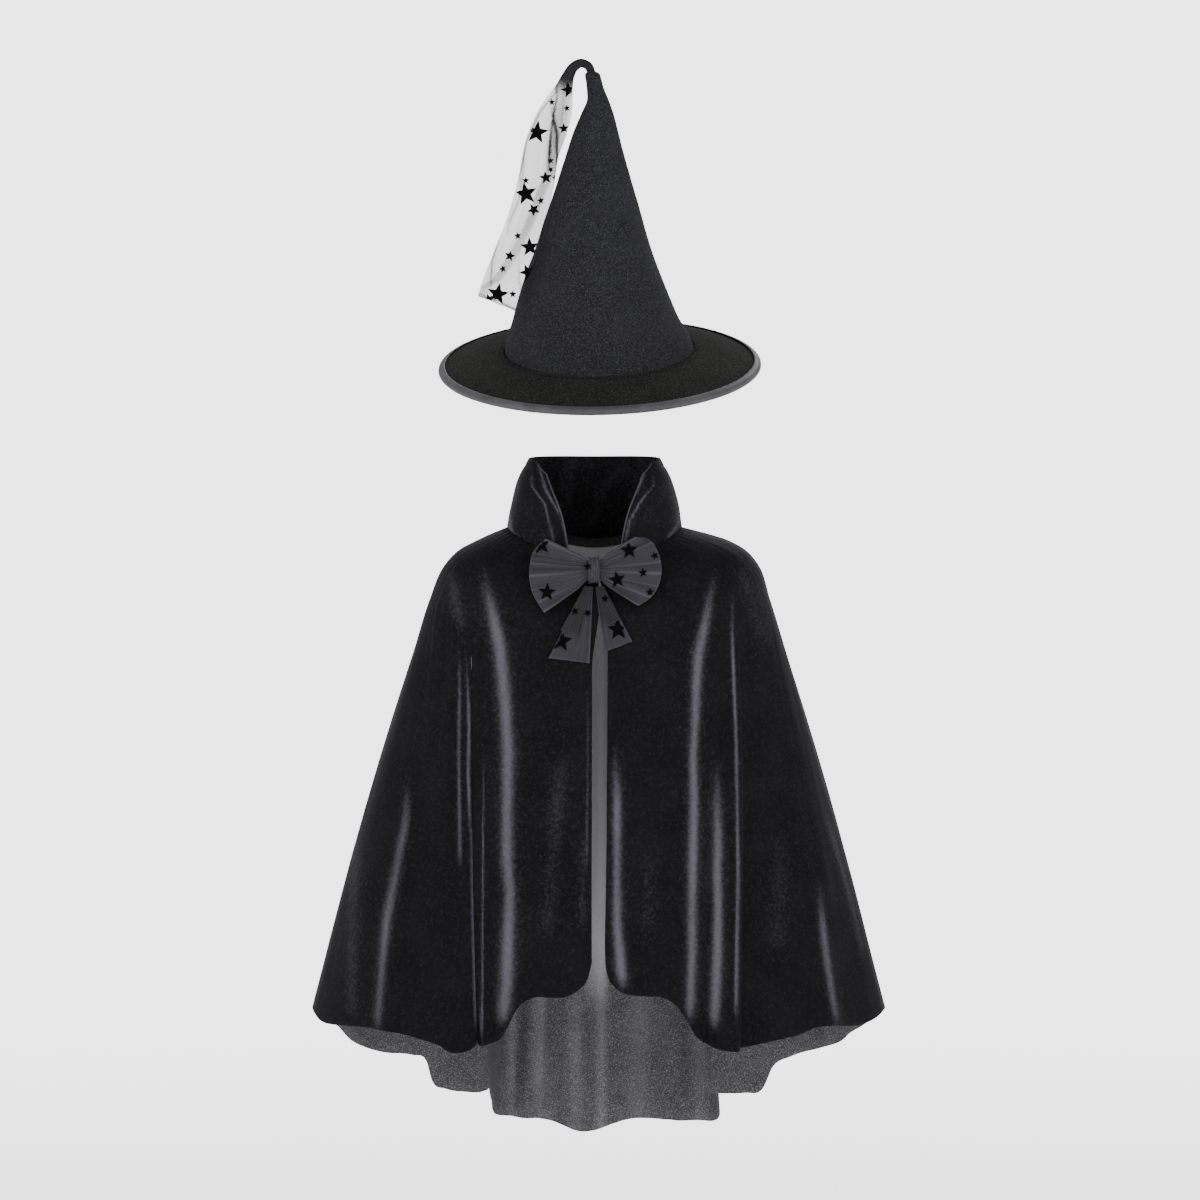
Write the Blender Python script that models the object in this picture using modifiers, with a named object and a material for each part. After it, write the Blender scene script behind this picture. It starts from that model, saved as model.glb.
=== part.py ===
"""Child's witch costume: a velvet cape with a stand collar and a tulle bow, and a pointed felt hat above it.

Metres, +Z up. The cape's front faces -Y, and left is the viewer's left, -X. The origin is the middle of the
neckline. Tables and names in millimetres are multiplied by MM where they are read.
"""

import math

import bmesh
import bpy
from mathutils import Matrix, Vector

MM = 0.001
SEAM_GAP = 0.5
VELVET_WALL = 1.6
COLLAR_WALL = 1.2
TULLE_WALL = 1.0
FELT_WALL = 2.2

# Rings of the cape's yoke, neck to upper arm: the side, the front and the back each have their own height.
RING_ROUNDNESS = 2.3
YOKE = (
    # centre_x, half_width, z_side, y_front, z_front, y_back, z_back
    (0.0, 80.0, 16.0, 62.0, -16.0, 58.0, -2.0),
    (5.0, 104.0, 8.4, 71.0, -32.0, 69.0, -12.0),
    (7.5, 120.0, 2.0, 77.0, -44.0, 77.0, -23.0),
    (7.0, 134.0, -6.0, 83.0, -57.0, 84.0, -37.0),
    (6.5, 145.0, -18.0, 89.0, -72.0, 91.0, -54.0),
    (4.7, 158.0, -51.5, 95.0, -100.0, 98.0, -85.0),
)
# How far the opening's edges close towards each other at each yoke ring, under the bow.
PINCH = (0.70, 0.66, 0.60, 0.48, 0.25, 0.0)
PINCH_ANGLE = 20.0

# The smooth ring at the hem, from which the folds depart: size at a height, and how it grows below.
HEM_LEVEL = -430.0
HEM_CENTRE = 3.5
HEM_HALF_WIDTH, HEM_FRONT, HEM_BACK = 267.0, 148.0, 165.0
FLARE_SIDE, FLARE_FRONT, FLARE_BACK = 0.27, 0.15, 0.14
HEM_ROUNDNESS = 2.1
SIDE_BOW = 4.0
LOWER_ROWS = (0.12, 0.27, 0.44, 0.62, 0.81, 1.0)

# A row is one crest, trough or turn of the cloth: the angle round the arm ring that it hangs from, where the hem
# lies under it, and the height where its fold begins. The left front runs from the opening to the side seam.
LEFT_FRONT = (
    # hang, x, y, z, reach
    (-4.8, -3.9, -147.0, -374.0, -100.0),
    (-7.0, -7.5, -148.0, -389.0, -100.0),
    (-11.0, -14.0, -149.0, -397.0, -100.0),
    (-17.0, -25.0, -150.0, -403.5, -100.0),
    (-26.0, -40.0, -148.0, -405.0, -80.0),
    (-34.0, -55.5, -147.0, -405.0, -50.0),
    (-42.0, -69.0, -150.0, -412.0, -30.0),
    (-48.0, -80.0, -155.0, -430.0, -20.0),
    (-52.0, -88.0, -151.0, -443.0, -30.0),
    (-55.0, -97.0, -146.0, -448.0, -60.0),
    (-57.3, -104.0, -147.0, -450.0, -90.0),
    (-58.8, -107.8, -121.0, -446.0, -90.0),
    (-60.3, -112.0, -150.0, -452.0, -90.0),
    (-63.0, -121.0, -152.0, -455.0, -80.0),
    (-65.5, -131.0, -150.0, -456.0, -80.0),
    (-68.0, -143.0, -145.0, -450.0, -100.0),
    (-71.0, -161.0, -135.0, -445.0, -150.0),
    (-74.0, -183.0, -121.0, -441.0, -200.0),
    (-76.5, -197.0, -117.0, -439.5, -220.0),
    (-79.0, -208.0, -102.0, -438.8, -200.0),
    (-83.0, -232.0, -78.0, -439.6, -150.0),
    (-87.0, -253.6, -44.0, -440.4, -150.0),
    (-91.5, -263.0, -13.0, -433.0, -150.0),
    (-94.5, -263.5, -2.0, -434.0, -150.0),
    (-97.0, -262.0, 8.0, -438.0, -150.0),
)
RIGHT_FRONT = (
    # hang, x, y, z, reach
    (5.6, 10.8, -147.0, -374.0, -150.0),
    (8.0, 13.5, -149.0, -388.0, -150.0),
    (12.0, 19.0, -152.0, -395.0, -170.0),
    (16.0, 26.0, -154.0, -399.5, -180.0),
    (21.0, 35.0, -150.0, -402.5, -180.0),
    (28.0, 48.0, -146.0, -404.0, -150.0),
    (35.0, 62.4, -146.0, -405.0, -100.0),
    (42.0, 76.2, -149.0, -413.0, -30.0),
    (47.5, 86.0, -154.0, -427.0, -20.0),
    (51.5, 92.5, -158.0, -437.0, -20.0),
    (55.5, 103.0, -150.5, -447.0, -60.0),
    (58.5, 112.0, -157.0, -451.0, -190.0),
    (61.0, 122.0, -152.0, -454.0, -80.0),
    (63.2, 132.5, -150.0, -455.0, -40.0),
    (64.2, 134.0, -137.0, -453.0, -40.0),
    (67.0, 142.0, -134.0, -452.0, -50.0),
    (70.0, 153.0, -131.0, -450.0, -60.0),
    (73.0, 167.0, -126.0, -447.6, -80.0),
    (76.0, 189.0, -113.0, -444.0, -150.0),
    (78.5, 208.0, -98.0, -438.4, -300.0),
    (80.5, 222.0, -93.0, -438.0, -320.0),
    (82.5, 232.0, -79.0, -440.0, -300.0),
    (85.5, 247.0, -60.0, -441.3, -200.0),
    (89.0, 264.0, -32.0, -437.0, -150.0),
    (92.5, 270.5, -11.0, -432.5, -150.0),
    (94.8, 271.0, -1.0, -434.0, -150.0),
    (97.0, 269.5, 8.0, -438.0, -150.0),
)
# The back runs from the right side seam round to the left one. Its two deep folds turn inwards.
BACK = (
    # hang, x, y, z, reach
    (97.0, 269.5, 8.0, -438.0, -150.0),
    (98.4, 262.0, 25.0, -446.0, -150.0),
    (99.8, 252.0, 40.0, -456.0, -150.0),
    (102.0, 240.0, 55.0, -465.0, -150.0),
    (105.5, 231.0, 69.0, -475.0, -150.0),
    (109.5, 214.0, 86.0, -483.0, -150.0),
    (114.0, 186.0, 100.0, -493.0, -150.0),
    (118.0, 168.0, 104.0, -504.0, -150.0),
    (121.0, 158.0, 103.0, -525.0, -150.0),
    (126.0, 142.0, 101.0, -528.0, -130.0),
    (130.0, 124.0, 97.0, -528.0, -110.0),
    (133.5, 109.0, 92.5, -527.0, -100.0),
    (135.3, 104.5, 97.0, -527.0, -100.0),
    (137.0, 107.0, 114.0, -530.0, -100.0),
    (139.0, 113.0, 138.0, -543.0, -100.0),
    (141.0, 119.0, 159.0, -558.0, -90.0),
    (143.5, 114.0, 172.0, -564.0, -80.0),
    (147.0, 98.0, 177.0, -564.0, -80.0),
    (151.0, 81.5, 175.5, -564.4, -90.0),
    (155.0, 65.0, 181.0, -564.0, -100.0),
    (159.5, 49.0, 185.0, -563.5, -120.0),
    (164.5, 34.0, 180.0, -563.0, -150.0),
    (170.0, 17.0, 178.0, -568.0, -150.0),
    (176.0, -2.0, 181.0, -575.0, -150.0),
    (180.5, -15.0, 185.0, -576.0, -150.0),
    (185.0, -28.0, 184.0, -571.0, -120.0),
    (189.5, -42.0, 177.0, -564.5, -120.0),
    (194.0, -55.0, 183.0, -563.0, -100.0),
    (198.5, -68.0, 178.5, -562.5, -90.0),
    (203.0, -80.0, 182.0, -561.0, -80.0),
    (207.5, -91.0, 177.0, -559.5, -80.0),
    (210.0, -95.0, 166.0, -556.0, -90.0),
    (212.5, -98.0, 142.0, -540.0, -100.0),
    (215.0, -100.5, 117.0, -525.0, -100.0),
    (217.5, -103.5, 95.0, -525.0, -100.0),
    (220.0, -109.0, 90.0, -526.0, -100.0),
    (225.0, -123.0, 94.0, -526.0, -110.0),
    (230.0, -140.0, 99.0, -524.0, -130.0),
    (235.0, -153.5, 103.0, -517.0, -150.0),
    (238.0, -159.0, 104.0, -498.0, -150.0),
    (242.0, -173.0, 102.0, -492.0, -150.0),
    (247.0, -196.0, 94.0, -489.0, -150.0),
    (252.0, -215.0, 81.0, -482.5, -150.0),
    (256.5, -229.0, 64.0, -473.0, -150.0),
    (260.0, -240.0, 43.0, -458.0, -150.0),
    (261.7, -254.0, 25.0, -446.0, -150.0),
    (263.0, -262.0, 8.0, -438.0, -150.0),
)
FOLD_RISE = 1.15

# Rings of the stand collar, seam to top edge, and the angle where its front edge stops.
COLLAR = (
    # half_width, y_front, y_back, z_side, z_front, z_back, edge_angle
    (80.0, 62.0, 58.0, 17.3, -14.7, -0.7, 21.5),
    (77.8, 61.0, 57.5, 33.0, 8.0, 19.0, 24.5),
    (73.8, 59.5, 56.0, 49.5, 31.0, 38.5, 30.0),
    (68.2, 57.0, 53.0, 65.5, 54.0, 58.5, 40.5),
    (61.0, 53.0, 49.0, 79.5, 76.0, 78.0, 52.0),
)
COLLAR_COLUMNS = 26
COLLAR_CORNER_LENGTH, COLLAR_CORNER_DROP = 14.0, 0.12
TAPE_INSET, TAPE_TOP, TAPE_BOTTOM, TAPE_WALL = 2.6, 2.5, -6.0, 0.8
TAPE_START = 26.0

# The bow: each loop fans out from the knot, its outer edge given by direction, reach and depth from top to bottom.
KNOT = (-0.5, -75.2, -17.0)
KNOT_RADIUS_Y, KNOT_RADIUS_Z, KNOT_LENGTH = 6.5, 11.5, 10.0
LEFT_LOOP = (
    # angle above the horizontal, reach, y at the outer edge
    (25.5, 47.6, -69.0),
    (11.0, 56.0, -71.0),
    (4.0, 57.6, -73.0),
    (-3.0, 58.6, -76.0),
    (-12.8, 58.5, -81.0),
    (-23.0, 56.5, -87.0),
    (-34.0, 53.7, -92.0),
)
RIGHT_LOOP = (
    (31.6, 42.9, -69.0),
    (23.5, 55.0, -71.0),
    (11.6, 59.7, -73.0),
    (-1.0, 61.0, -76.0),
    (-10.6, 59.5, -81.0),
    (-21.6, 54.3, -86.0),
    (-31.0, 46.0, -90.0),
)
LOOP_HALF_DEPTH, LOOP_PLEATS, LOOP_PLEAT_DEPTH = 6.0, 4, 2.0
LOOP_THROAT_X, LOOP_THROAT_Y, LOOP_THROAT_Z = 1.5, 1.9, 8.0
LOOP_FAN_START = 0.3
LOOP_RESTS_BELOW, LOOP_CLEARANCE = -20.0, 2.2
# Each hanging end: its corners under the knot and at its foot, in x and z, how far it stands off the cape,
# and how many soft waves run down it.
HANGING = {
    # node: (top_left, top_right, foot_left, foot_right, stand_off, waves)
    "bow_tail_left": ((-9.0, -32.0), (-1.5, -32.5), (-42.5, -97.0), (-4.5, -101.5), 2.0, 3),
    "bow_tail_right": ((1.0, -32.5), (8.0, -32.0), (8.0, -92.0), (35.0, -81.5), 2.0, 2),
    "bow_drop_left": ((-9.5, -32.0), (-3.0, -32.5), (-31.0, -71.0), (-16.5, -76.0), 5.2, 1),
    "bow_drop_right": ((2.0, -32.5), (8.5, -32.0), (11.0, -68.0), (24.0, -61.0), 5.2, 1),
}
HANGING_WAVE = 1.1

# The hat, in its own frame: z is its axis, and 0 is the plane of the brim's edge.
HAT_CENTRE = (4.9, 0.0, 165.5)
HAT_TILT_FORWARD = 12.7
HAT_ROLL_LEFT = 1.25
BRIM_RADIUS = 149.0
BRIM_PROFILE = (
    # radius, height
    (88.7, 17.0),
    (103.0, 14.6),
    (117.0, 11.4),
    (132.0, 6.8),
    (146.8, 1.6),
)
BRIM_WALL = 2.4
BINDING_RADIUS, BINDING_HEIGHT = 147.2, 1.4
BINDING_HALF_WIDTH, BINDING_HALF_THICK, BINDING_WALL = 5.0, 2.6, 1.0
CROWN_BASE = 17.0
CROWN = (
    # height, radius, lean
    (0.0, 87.0, 0.0),
    (8.0, 85.2, -1.2),
    (24.0, 78.0, -3.2),
    (45.0, 71.0, -4.5),
    (70.0, 62.6, -4.7),
    (98.0, 52.6, -3.6),
    (127.0, 44.0, -3.0),
    (156.0, 35.0, -1.5),
    (185.0, 26.4, 0.0),
    (212.0, 18.8, 1.5),
    (228.0, 13.6, 3.0),
    (240.0, 9.2, 3.6),
    (252.0, 7.0, 1.4),
    (264.0, 6.2, -0.6),
)
CROWN_DEPTH = 1.04
CROWN_COLUMNS = 32
BRIM_COLUMNS = 40

# The tulle trail, gathered on the hat's tip and hanging at its left: the line of its middle, its width and
# depth, in the costume's frame.
TRAIL = (
    # x, y, z, width, depth
    (-2.6, -62.5, 441.2, 7.0, 6.0),
    (-6.0, -63.0, 448.5, 7.5, 6.5),
    (-12.5, -63.0, 451.0, 8.0, 7.0),
    (-19.0, -63.0, 447.5, 9.0, 7.5),
    (-24.0, -63.0, 439.5, 11.0, 8.0),
    (-28.0, -62.5, 428.0, 16.0, 9.0),
    (-34.0, -62.0, 411.0, 27.0, 11.0),
    (-41.5, -61.0, 391.0, 33.0, 13.0),
    (-48.5, -60.0, 369.0, 33.0, 14.0),
    (-54.0, -59.0, 342.0, 33.0, 15.0),
    (-62.0, -58.0, 310.0, 34.0, 16.0),
    (-72.0, -57.0, 278.0, 38.0, 17.0),
    (-80.0, -56.0, 254.0, 39.0, 17.0),
    (-90.0, -55.0, 229.0, 37.0, 16.0),
)
TRAIL_RUNS = 3
TRAIL_COLUMNS = 18

COLOURS = {
    # name: (red, green, blue, roughness)
    "velvet": (0.012, 0.012, 0.013, 0.75),
    "felt": (0.026, 0.026, 0.03, 0.95),
    "tape": (0.04, 0.042, 0.04, 0.9),
    "satin": (0.07, 0.068, 0.08, 0.45),
    "tulle": (0.06, 0.056, 0.068, 0.8),
}


def clear_scene():
    for obj in list(bpy.data.objects):
        bpy.data.objects.remove(obj, do_unlink=True)


def clamp(value, low=0.0, high=1.0):
    return max(low, min(high, value))


def ease(value):
    t = clamp(value)
    return t * t * (3.0 - 2.0 * t)


def blend(low, high, share):
    return low + (high - low) * share


def spline(knots, rows, t):
    """Smooth values at t through rows, one at each knot, with knots any distance apart."""
    last = len(knots) - 1
    i = 0
    while i < last - 1 and t > knots[i + 1]:
        i += 1
    span = knots[i + 1] - knots[i]
    k = (t - knots[i]) / span

    def slope(n):
        before = (rows[n] - rows[n - 1]) / (knots[n] - knots[n - 1]) if n > 0 else None
        after = (rows[n + 1] - rows[n]) / (knots[n + 1] - knots[n]) if n < last else None
        if before is None:
            return after
        if after is None:
            return before
        reach_before = knots[n] - knots[n - 1]
        reach_after = knots[n + 1] - knots[n]
        return (before * reach_after + after * reach_before) / (reach_before + reach_after)

    k2 = k * k
    k3 = k2 * k
    start = rows[i] * (2 * k3 - 3 * k2 + 1) + rows[i + 1] * (3 * k2 - 2 * k3)
    return start + slope(i) * (k3 - 2 * k2 + k) * span + slope(i + 1) * (k3 - k2) * span


def chord_knots(points):
    knots = [0.0]
    for before, after in zip(points, points[1:]):
        knots.append(knots[-1] + max((after - before).length, 1e-6))
    return knots


def table(rows):
    return [Vector(row) for row in rows]


def ring_point(centre_x, half_width, y_front, y_back, z_side, z_front, z_back, angle, roundness):
    """A point on a ring at an angle from the front, positive to the right."""
    s = math.sin(math.radians(angle))
    c = math.cos(math.radians(angle))
    depth = y_front if c > 0 else y_back
    z_end = z_front if c > 0 else z_back
    r = (abs(s / half_width) ** roundness + abs(c / depth) ** roundness) ** (-1.0 / roundness)
    return Vector((centre_x + r * s, -r * c, z_side + (z_end - z_side) * c * c))


def yoke_point(row, hang):
    centre_x, half_width, z_side, y_front, z_front, y_back, z_back = YOKE[row]
    from_front = abs((hang + 180.0) % 360.0 - 180.0)
    pinch = PINCH[row] * (1.0 - ease(from_front / PINCH_ANGLE))
    angle = hang * (1.0 - pinch) if from_front < 90.0 else hang
    return ring_point(
        centre_x, half_width, y_front, y_back, z_side, z_front, z_back, angle, RING_ROUNDNESS
    )


def smooth_hem(x, y, z):
    """The point of the plain flared ring at height z in the direction of x, y."""
    drop = HEM_LEVEL - z
    angle = math.degrees(math.atan2(x - HEM_CENTRE, -y))
    return ring_point(
        HEM_CENTRE,
        HEM_HALF_WIDTH + FLARE_SIDE * drop,
        HEM_FRONT + FLARE_FRONT * drop,
        HEM_BACK + FLARE_BACK * drop,
        z,
        z,
        z,
        angle,
        HEM_ROUNDNESS,
    )


def cape_column(hang, x, y, z, reach):
    """The points down one column of the cape, neck to hem."""
    points = [yoke_point(row, hang) for row in range(len(YOKE))]
    top = points[-1]
    hem = smooth_hem(x, y, z)
    fold = Vector((x, y, z)) - hem
    for v in LOWER_ROWS:
        point = top.lerp(hem, v)
        outward = Vector((point.x - HEM_CENTRE, point.y, 0.0)).normalized()
        point += outward * SIDE_BOW * math.sin(math.pi * v)
        share = clamp((reach - point.z) / (reach - z)) ** FOLD_RISE
        points.append(point + fold * share)
    return points


def cape_surface(rows):
    """A function from column position and row position to a point of the cape's cloth."""
    rows = table(rows)
    knots = chord_knots([Vector((row[1], row[2], row[3] * 0.3)) for row in rows])

    def column_at(position):
        i = min(int(position), len(rows) - 2)
        t = knots[i] + (knots[i + 1] - knots[i]) * (position - i)
        return cape_column(*spline(knots, rows, t))

    return column_at


def subdivided(count, steps):
    """Positions along count rows with a number of steps between each two."""
    return [i + s / steps for i in range(count - 1) for s in range(steps)] + [count - 1.0]


def column_points(points, steps):
    knots = chord_knots(points)
    result = []
    for position in subdivided(len(points), steps):
        i = min(int(position), len(points) - 2)
        t = knots[i] + (knots[i + 1] - knots[i]) * (position - i)
        result.append(spline(knots, points, t))
    return result


def pull_in(grid, first, last):
    """Moves the first and the last column in from a seam by half its gap."""
    for ends, (edge, inner) in ((first, (0, 1)), (last, (-1, -2))):
        if ends:
            for a, b in zip(grid[edge], grid[inner]):
                a += (b - a).normalized() * SEAM_GAP / 2
    return grid


def make_material(name, colour):
    red, green, blue, roughness = COLOURS[colour]
    material = bpy.data.materials.new(name + "_" + colour)
    material.use_nodes = True
    shader = material.node_tree.nodes["Principled BSDF"]
    shader.inputs["Base Color"].default_value = (red, green, blue, 1.0)
    shader.inputs["Roughness"].default_value = roughness
    shader.inputs["Metallic"].default_value = 0.0
    material.diffuse_color = (red, green, blue, 1.0)
    return material


def sheet(name, grid, colour, wall, offset=0.0, closed=False):
    """A cloth wall on a grid of points, columns of equal length. A closed grid's last column joins its first."""
    columns, rows = len(grid), len(grid[0])
    bm = bmesh.new()
    bmesh.ops.create_grid(bm, x_segments=columns - 1 + closed, y_segments=rows - 1, size=0.5)
    bm.verts.ensure_lookup_table()
    across = columns + closed
    ordered = sorted(bm.verts, key=lambda v: (round(v.co.x * (across - 1)), round(v.co.y * (rows - 1))))
    for i, vert in enumerate(ordered):
        vert.co = grid[(i // rows) % columns][i % rows] * MM
    if closed:
        bmesh.ops.remove_doubles(bm, verts=bm.verts, dist=1e-6)
    mesh = bpy.data.meshes.new(name)
    bm.to_mesh(mesh)
    bm.free()
    mesh.shade_smooth()
    obj = bpy.data.objects.new(name, mesh)
    mesh.materials.append(make_material(name, colour))
    bpy.context.scene.collection.children["witch_costume"].objects.link(obj)
    solidify = obj.modifiers.new("Wall", "SOLIDIFY")
    solidify.thickness = wall * MM
    solidify.offset = offset
    solidify.use_even_offset = True
    solidify.thickness_clamp = 1.0
    return obj


def cape_panel(name, rows, steps, first_seam, last_seam):
    column_at = cape_surface(rows)
    grid = [column_points(column_at(p), 1) for p in subdivided(len(rows), steps)]
    sheet(name, pull_in(grid, first_seam, last_seam), "velvet", VELVET_WALL)


def make_cape():
    cape_panel("front_left", LEFT_FRONT, 1, False, True)
    cape_panel("front_right", RIGHT_FRONT, 1, False, True)
    cape_panel("back", BACK, 1, True, True)


def collar_ring(t):
    """The collar's ring at a height from 0, the seam, to 1, the top edge."""
    rows = table(COLLAR)
    knots = [i / (len(rows) - 1) for i in range(len(rows))]
    return spline(knots, rows, clamp(t))


def collar_point(across, t):
    """A point of the collar, across from the right front edge, 0, round the back to the left one, 1."""
    half_width, y_front, y_back, z_side, z_front, z_back, edge = collar_ring(t)
    angle = edge + (360.0 - 2 * edge) * across
    return ring_point(0.0, half_width, y_front, y_back, z_side, z_front, z_back, angle, RING_ROUNDNESS)


def collar_grid(columns, rows):
    grid = []
    for i in range(columns + 1):
        across = i / columns
        from_edge = min(across, 1.0 - across) * 340.0
        corner = COLLAR_CORNER_DROP * (1.0 - ease(from_edge / COLLAR_CORNER_LENGTH))
        grid.append([collar_point(across, (1.0 - corner) * j / rows) for j in range(rows + 1)])
    return grid


def make_collar():
    grid = collar_grid(COLLAR_COLUMNS, len(COLLAR) - 1)
    layer = 1.0 + 2 * 0.15 / COLLAR_WALL
    sheet("collar_outer", grid, "velvet", COLLAR_WALL, offset=-layer)
    sheet("collar_facing", grid, "velvet", COLLAR_WALL, offset=layer)


def make_neck_tape():
    half_width, y_front, y_back, z_side, z_front, z_back, _ = COLLAR[0]
    grid = []
    for i in range(COLLAR_COLUMNS + 1):
        angle = TAPE_START + (360.0 - 2 * TAPE_START) * i / COLLAR_COLUMNS
        seam = ring_point(0.0, half_width - TAPE_INSET, y_front - TAPE_INSET, y_back - TAPE_INSET,
                          z_side, z_front, z_back, angle, RING_ROUNDNESS)
        grid.append([seam + Vector((0.0, 0.0, TAPE_BOTTOM)), seam + Vector((0.0, 0.0, TAPE_TOP))])
    sheet("neck_tape", grid, "tape", TAPE_WALL)


def cape_skin_y(x, z):
    """The y of the cape's front at x and z, on the yoke and just below it."""
    low, high = 0.0, len(YOKE) + 1.0
    rows = table(YOKE)
    below = rows[-1] + (Vector((HEM_CENTRE, HEM_HALF_WIDTH, HEM_LEVEL, HEM_FRONT, HEM_LEVEL, HEM_BACK,
                                HEM_LEVEL)) - rows[-1]) * 0.3
    rows.append(below)
    knots = list(range(len(rows)))
    for _ in range(24):
        middle = (low + high) / 2
        centre_x, half_width, z_side, y_front, z_front, _, _ = spline(knots, rows, min(middle, knots[-1]))
        side = clamp(abs((x - centre_x) / half_width), 0.0, 0.98)
        y = -y_front * (1.0 - side**RING_ROUNDNESS) ** (1.0 / RING_ROUNDNESS)
        r2 = (x - centre_x) ** 2 + y * y
        z_here = z_side + (z_front - z_side) * y * y / r2
        if z_here > z:
            low = middle
        else:
            high = middle
    return y


def loop_grid(side, outline, around, across):
    """One bow loop: out of the knot along the front, round its outer edge and back behind."""
    rows = table(outline)
    knots = [i / (len(rows) - 1) for i in range(len(rows))]
    knot = Vector(KNOT)
    grid = []
    for i in range(across + 1):
        q = i / across
        angle, reach, y_out = spline(knots, rows, q)
        throat = knot + Vector((side * LOOP_THROAT_X, 0.0, LOOP_THROAT_Z * (1.0 - 2.0 * q)))
        column = []
        for j in range(around + 1):
            s = j / around
            out = (1.0 - math.cos(2 * math.pi * s)) / 2
            fan = math.radians(angle) * (0.4 + 0.6 * ease(out / LOOP_FAN_START))
            point = throat + Vector((side * math.cos(fan), 0.0, math.sin(fan))) * reach * out
            point.y = knot.y + (y_out - knot.y) * ease(out)
            puff = math.sin(2 * math.pi * s)
            pleat = math.cos(2 * math.pi * LOOP_PLEATS * q) * LOOP_PLEAT_DEPTH * out
            throat_share = 1.0 - ease(out / 0.25)
            front = 1.0 if s < 0.5 else -1.0
            point.y -= LOOP_HALF_DEPTH * puff * (1.0 - throat_share)
            point.y -= front * LOOP_THROAT_Y * throat_share
            point.y -= pleat * (0.6 if s > 0.5 else 1.0)
            if point.z < LOOP_RESTS_BELOW:
                point.y = min(point.y, cape_skin_y(point.x, point.z) - LOOP_CLEARANCE)
            column.append(point)
        grid.append(column)
    return grid


def hanging_grid(node, across, down):
    top_left, top_right, foot_left, foot_right, stand_off, waves = HANGING[node]
    grid = []
    for i in range(across + 1):
        q = i / across
        column = []
        for j in range(down + 1):
            s = j / down
            x = blend(blend(top_left[0], top_right[0], q), blend(foot_left[0], foot_right[0], q), s)
            z = blend(blend(top_left[1], top_right[1], q), blend(foot_left[1], foot_right[1], q), s)
            wave = HANGING_WAVE * math.cos(2 * math.pi * waves * q) * s
            column.append(Vector((x, cape_skin_y(x, z) - VELVET_WALL / 2 - stand_off - wave, z)))
        grid.append(column)
    return grid


def make_bow():
    sheet("bow_loop_left", loop_grid(-1.0, LEFT_LOOP, 14, 16), "tulle", TULLE_WALL)
    sheet("bow_loop_right", loop_grid(1.0, RIGHT_LOOP, 14, 16), "tulle", TULLE_WALL)
    for node, values in HANGING.items():
        sheet(node, hanging_grid(node, 4 + 2 * values[-1], 6), "tulle", TULLE_WALL)
    around = 14
    grid = []
    for i in range(around):
        angle = 2 * math.pi * i / around
        column = []
        for j in range(5):
            along = j / 4 - 0.5
            waist = 1.0 + 0.5 * along * along
            column.append(Vector(KNOT) + Vector((
                KNOT_LENGTH * along,
                KNOT_RADIUS_Y * waist * math.cos(angle),
                KNOT_RADIUS_Z * waist * math.sin(angle),
            )))
        grid.append(column)
    sheet("bow_knot", grid, "tulle", TULLE_WALL, closed=True)


def hat_frame():
    turn = Matrix.Rotation(math.radians(-HAT_ROLL_LEFT), 4, "Y") @ Matrix.Rotation(
        math.radians(HAT_TILT_FORWARD), 4, "X"
    )
    return Matrix.Translation(Vector(HAT_CENTRE)) @ turn


def crown_ring(height, radius, lean, columns):
    depth = 1.0 + (CROWN_DEPTH - 1.0) * clamp(1.0 - height / 200.0)
    ring = []
    for i in range(columns):
        angle = 2 * math.pi * i / columns
        ring.append(Vector((
            lean + radius * math.sin(angle),
            -radius * depth * math.cos(angle),
            CROWN_BASE + height,
        )))
    return ring


def make_hat():
    frame = hat_frame()
    rings = [crown_ring(height, radius, lean, CROWN_COLUMNS) for height, radius, lean in CROWN]
    grid = [[frame @ ring[i] for ring in rings] for i in range(CROWN_COLUMNS)]
    sheet("hat_cone", grid, "felt", FELT_WALL, closed=True)

    grid = []
    for i in range(BRIM_COLUMNS):
        angle = 2 * math.pi * i / BRIM_COLUMNS
        column = []
        for r, h in BRIM_PROFILE:
            inner = (BRIM_RADIUS - r) / (BRIM_RADIUS - BRIM_PROFILE[0][0])
            depth = 1.0 + (CROWN_DEPTH - 1.0) * inner
            column.append(frame @ Vector((r * math.sin(angle), -r * depth * math.cos(angle), h)))
        grid.append(column)
    sheet("hat_brim", grid, "felt", BRIM_WALL, closed=True)
    make_binding(frame)


def make_binding(frame):
    """Bias tape folded over the brim's edge: a U in section, its open side towards the crown."""
    grid = []
    section = []
    for k in range(5):
        turn = math.radians(-90.0 + 180.0 * k / 4)
        section.append((BINDING_HALF_THICK * math.cos(turn), BINDING_HALF_THICK * math.sin(turn)))
    section = [(-BINDING_HALF_WIDTH, -BINDING_HALF_THICK)] + section + [(-BINDING_HALF_WIDTH, BINDING_HALF_THICK)]
    for i in range(BRIM_COLUMNS):
        angle = 2 * math.pi * i / BRIM_COLUMNS
        column = []
        for out, up in section:
            r = BINDING_RADIUS + out
            h = BINDING_HEIGHT + up - out * 0.33
            column.append(frame @ Vector((r * math.sin(angle), -r * math.cos(angle), h)))
        grid.append(column)
    sheet("brim_binding", grid, "satin", BINDING_WALL, closed=True)


def trail_point(rows, knots, t, q):
    """A point of the trail: t along it, and q across the strip, which is folded on itself in runs."""
    x, y, z, width, depth = spline(knots, rows, t)
    step = knots[-1] * 0.01
    low = spline(knots, rows, max(t - step, 0.0))
    high = spline(knots, rows, min(t + step, knots[-1]))
    tangent = Vector((high[0] - low[0], 0.0, high[2] - low[2])).normalized()
    side = Vector((-tangent.z, 0.0, tangent.x))
    across = -math.cos(math.pi * TRAIL_RUNS * q) / 2
    return Vector((x, y + depth * (0.5 - q), z)) + side * width * across


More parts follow.
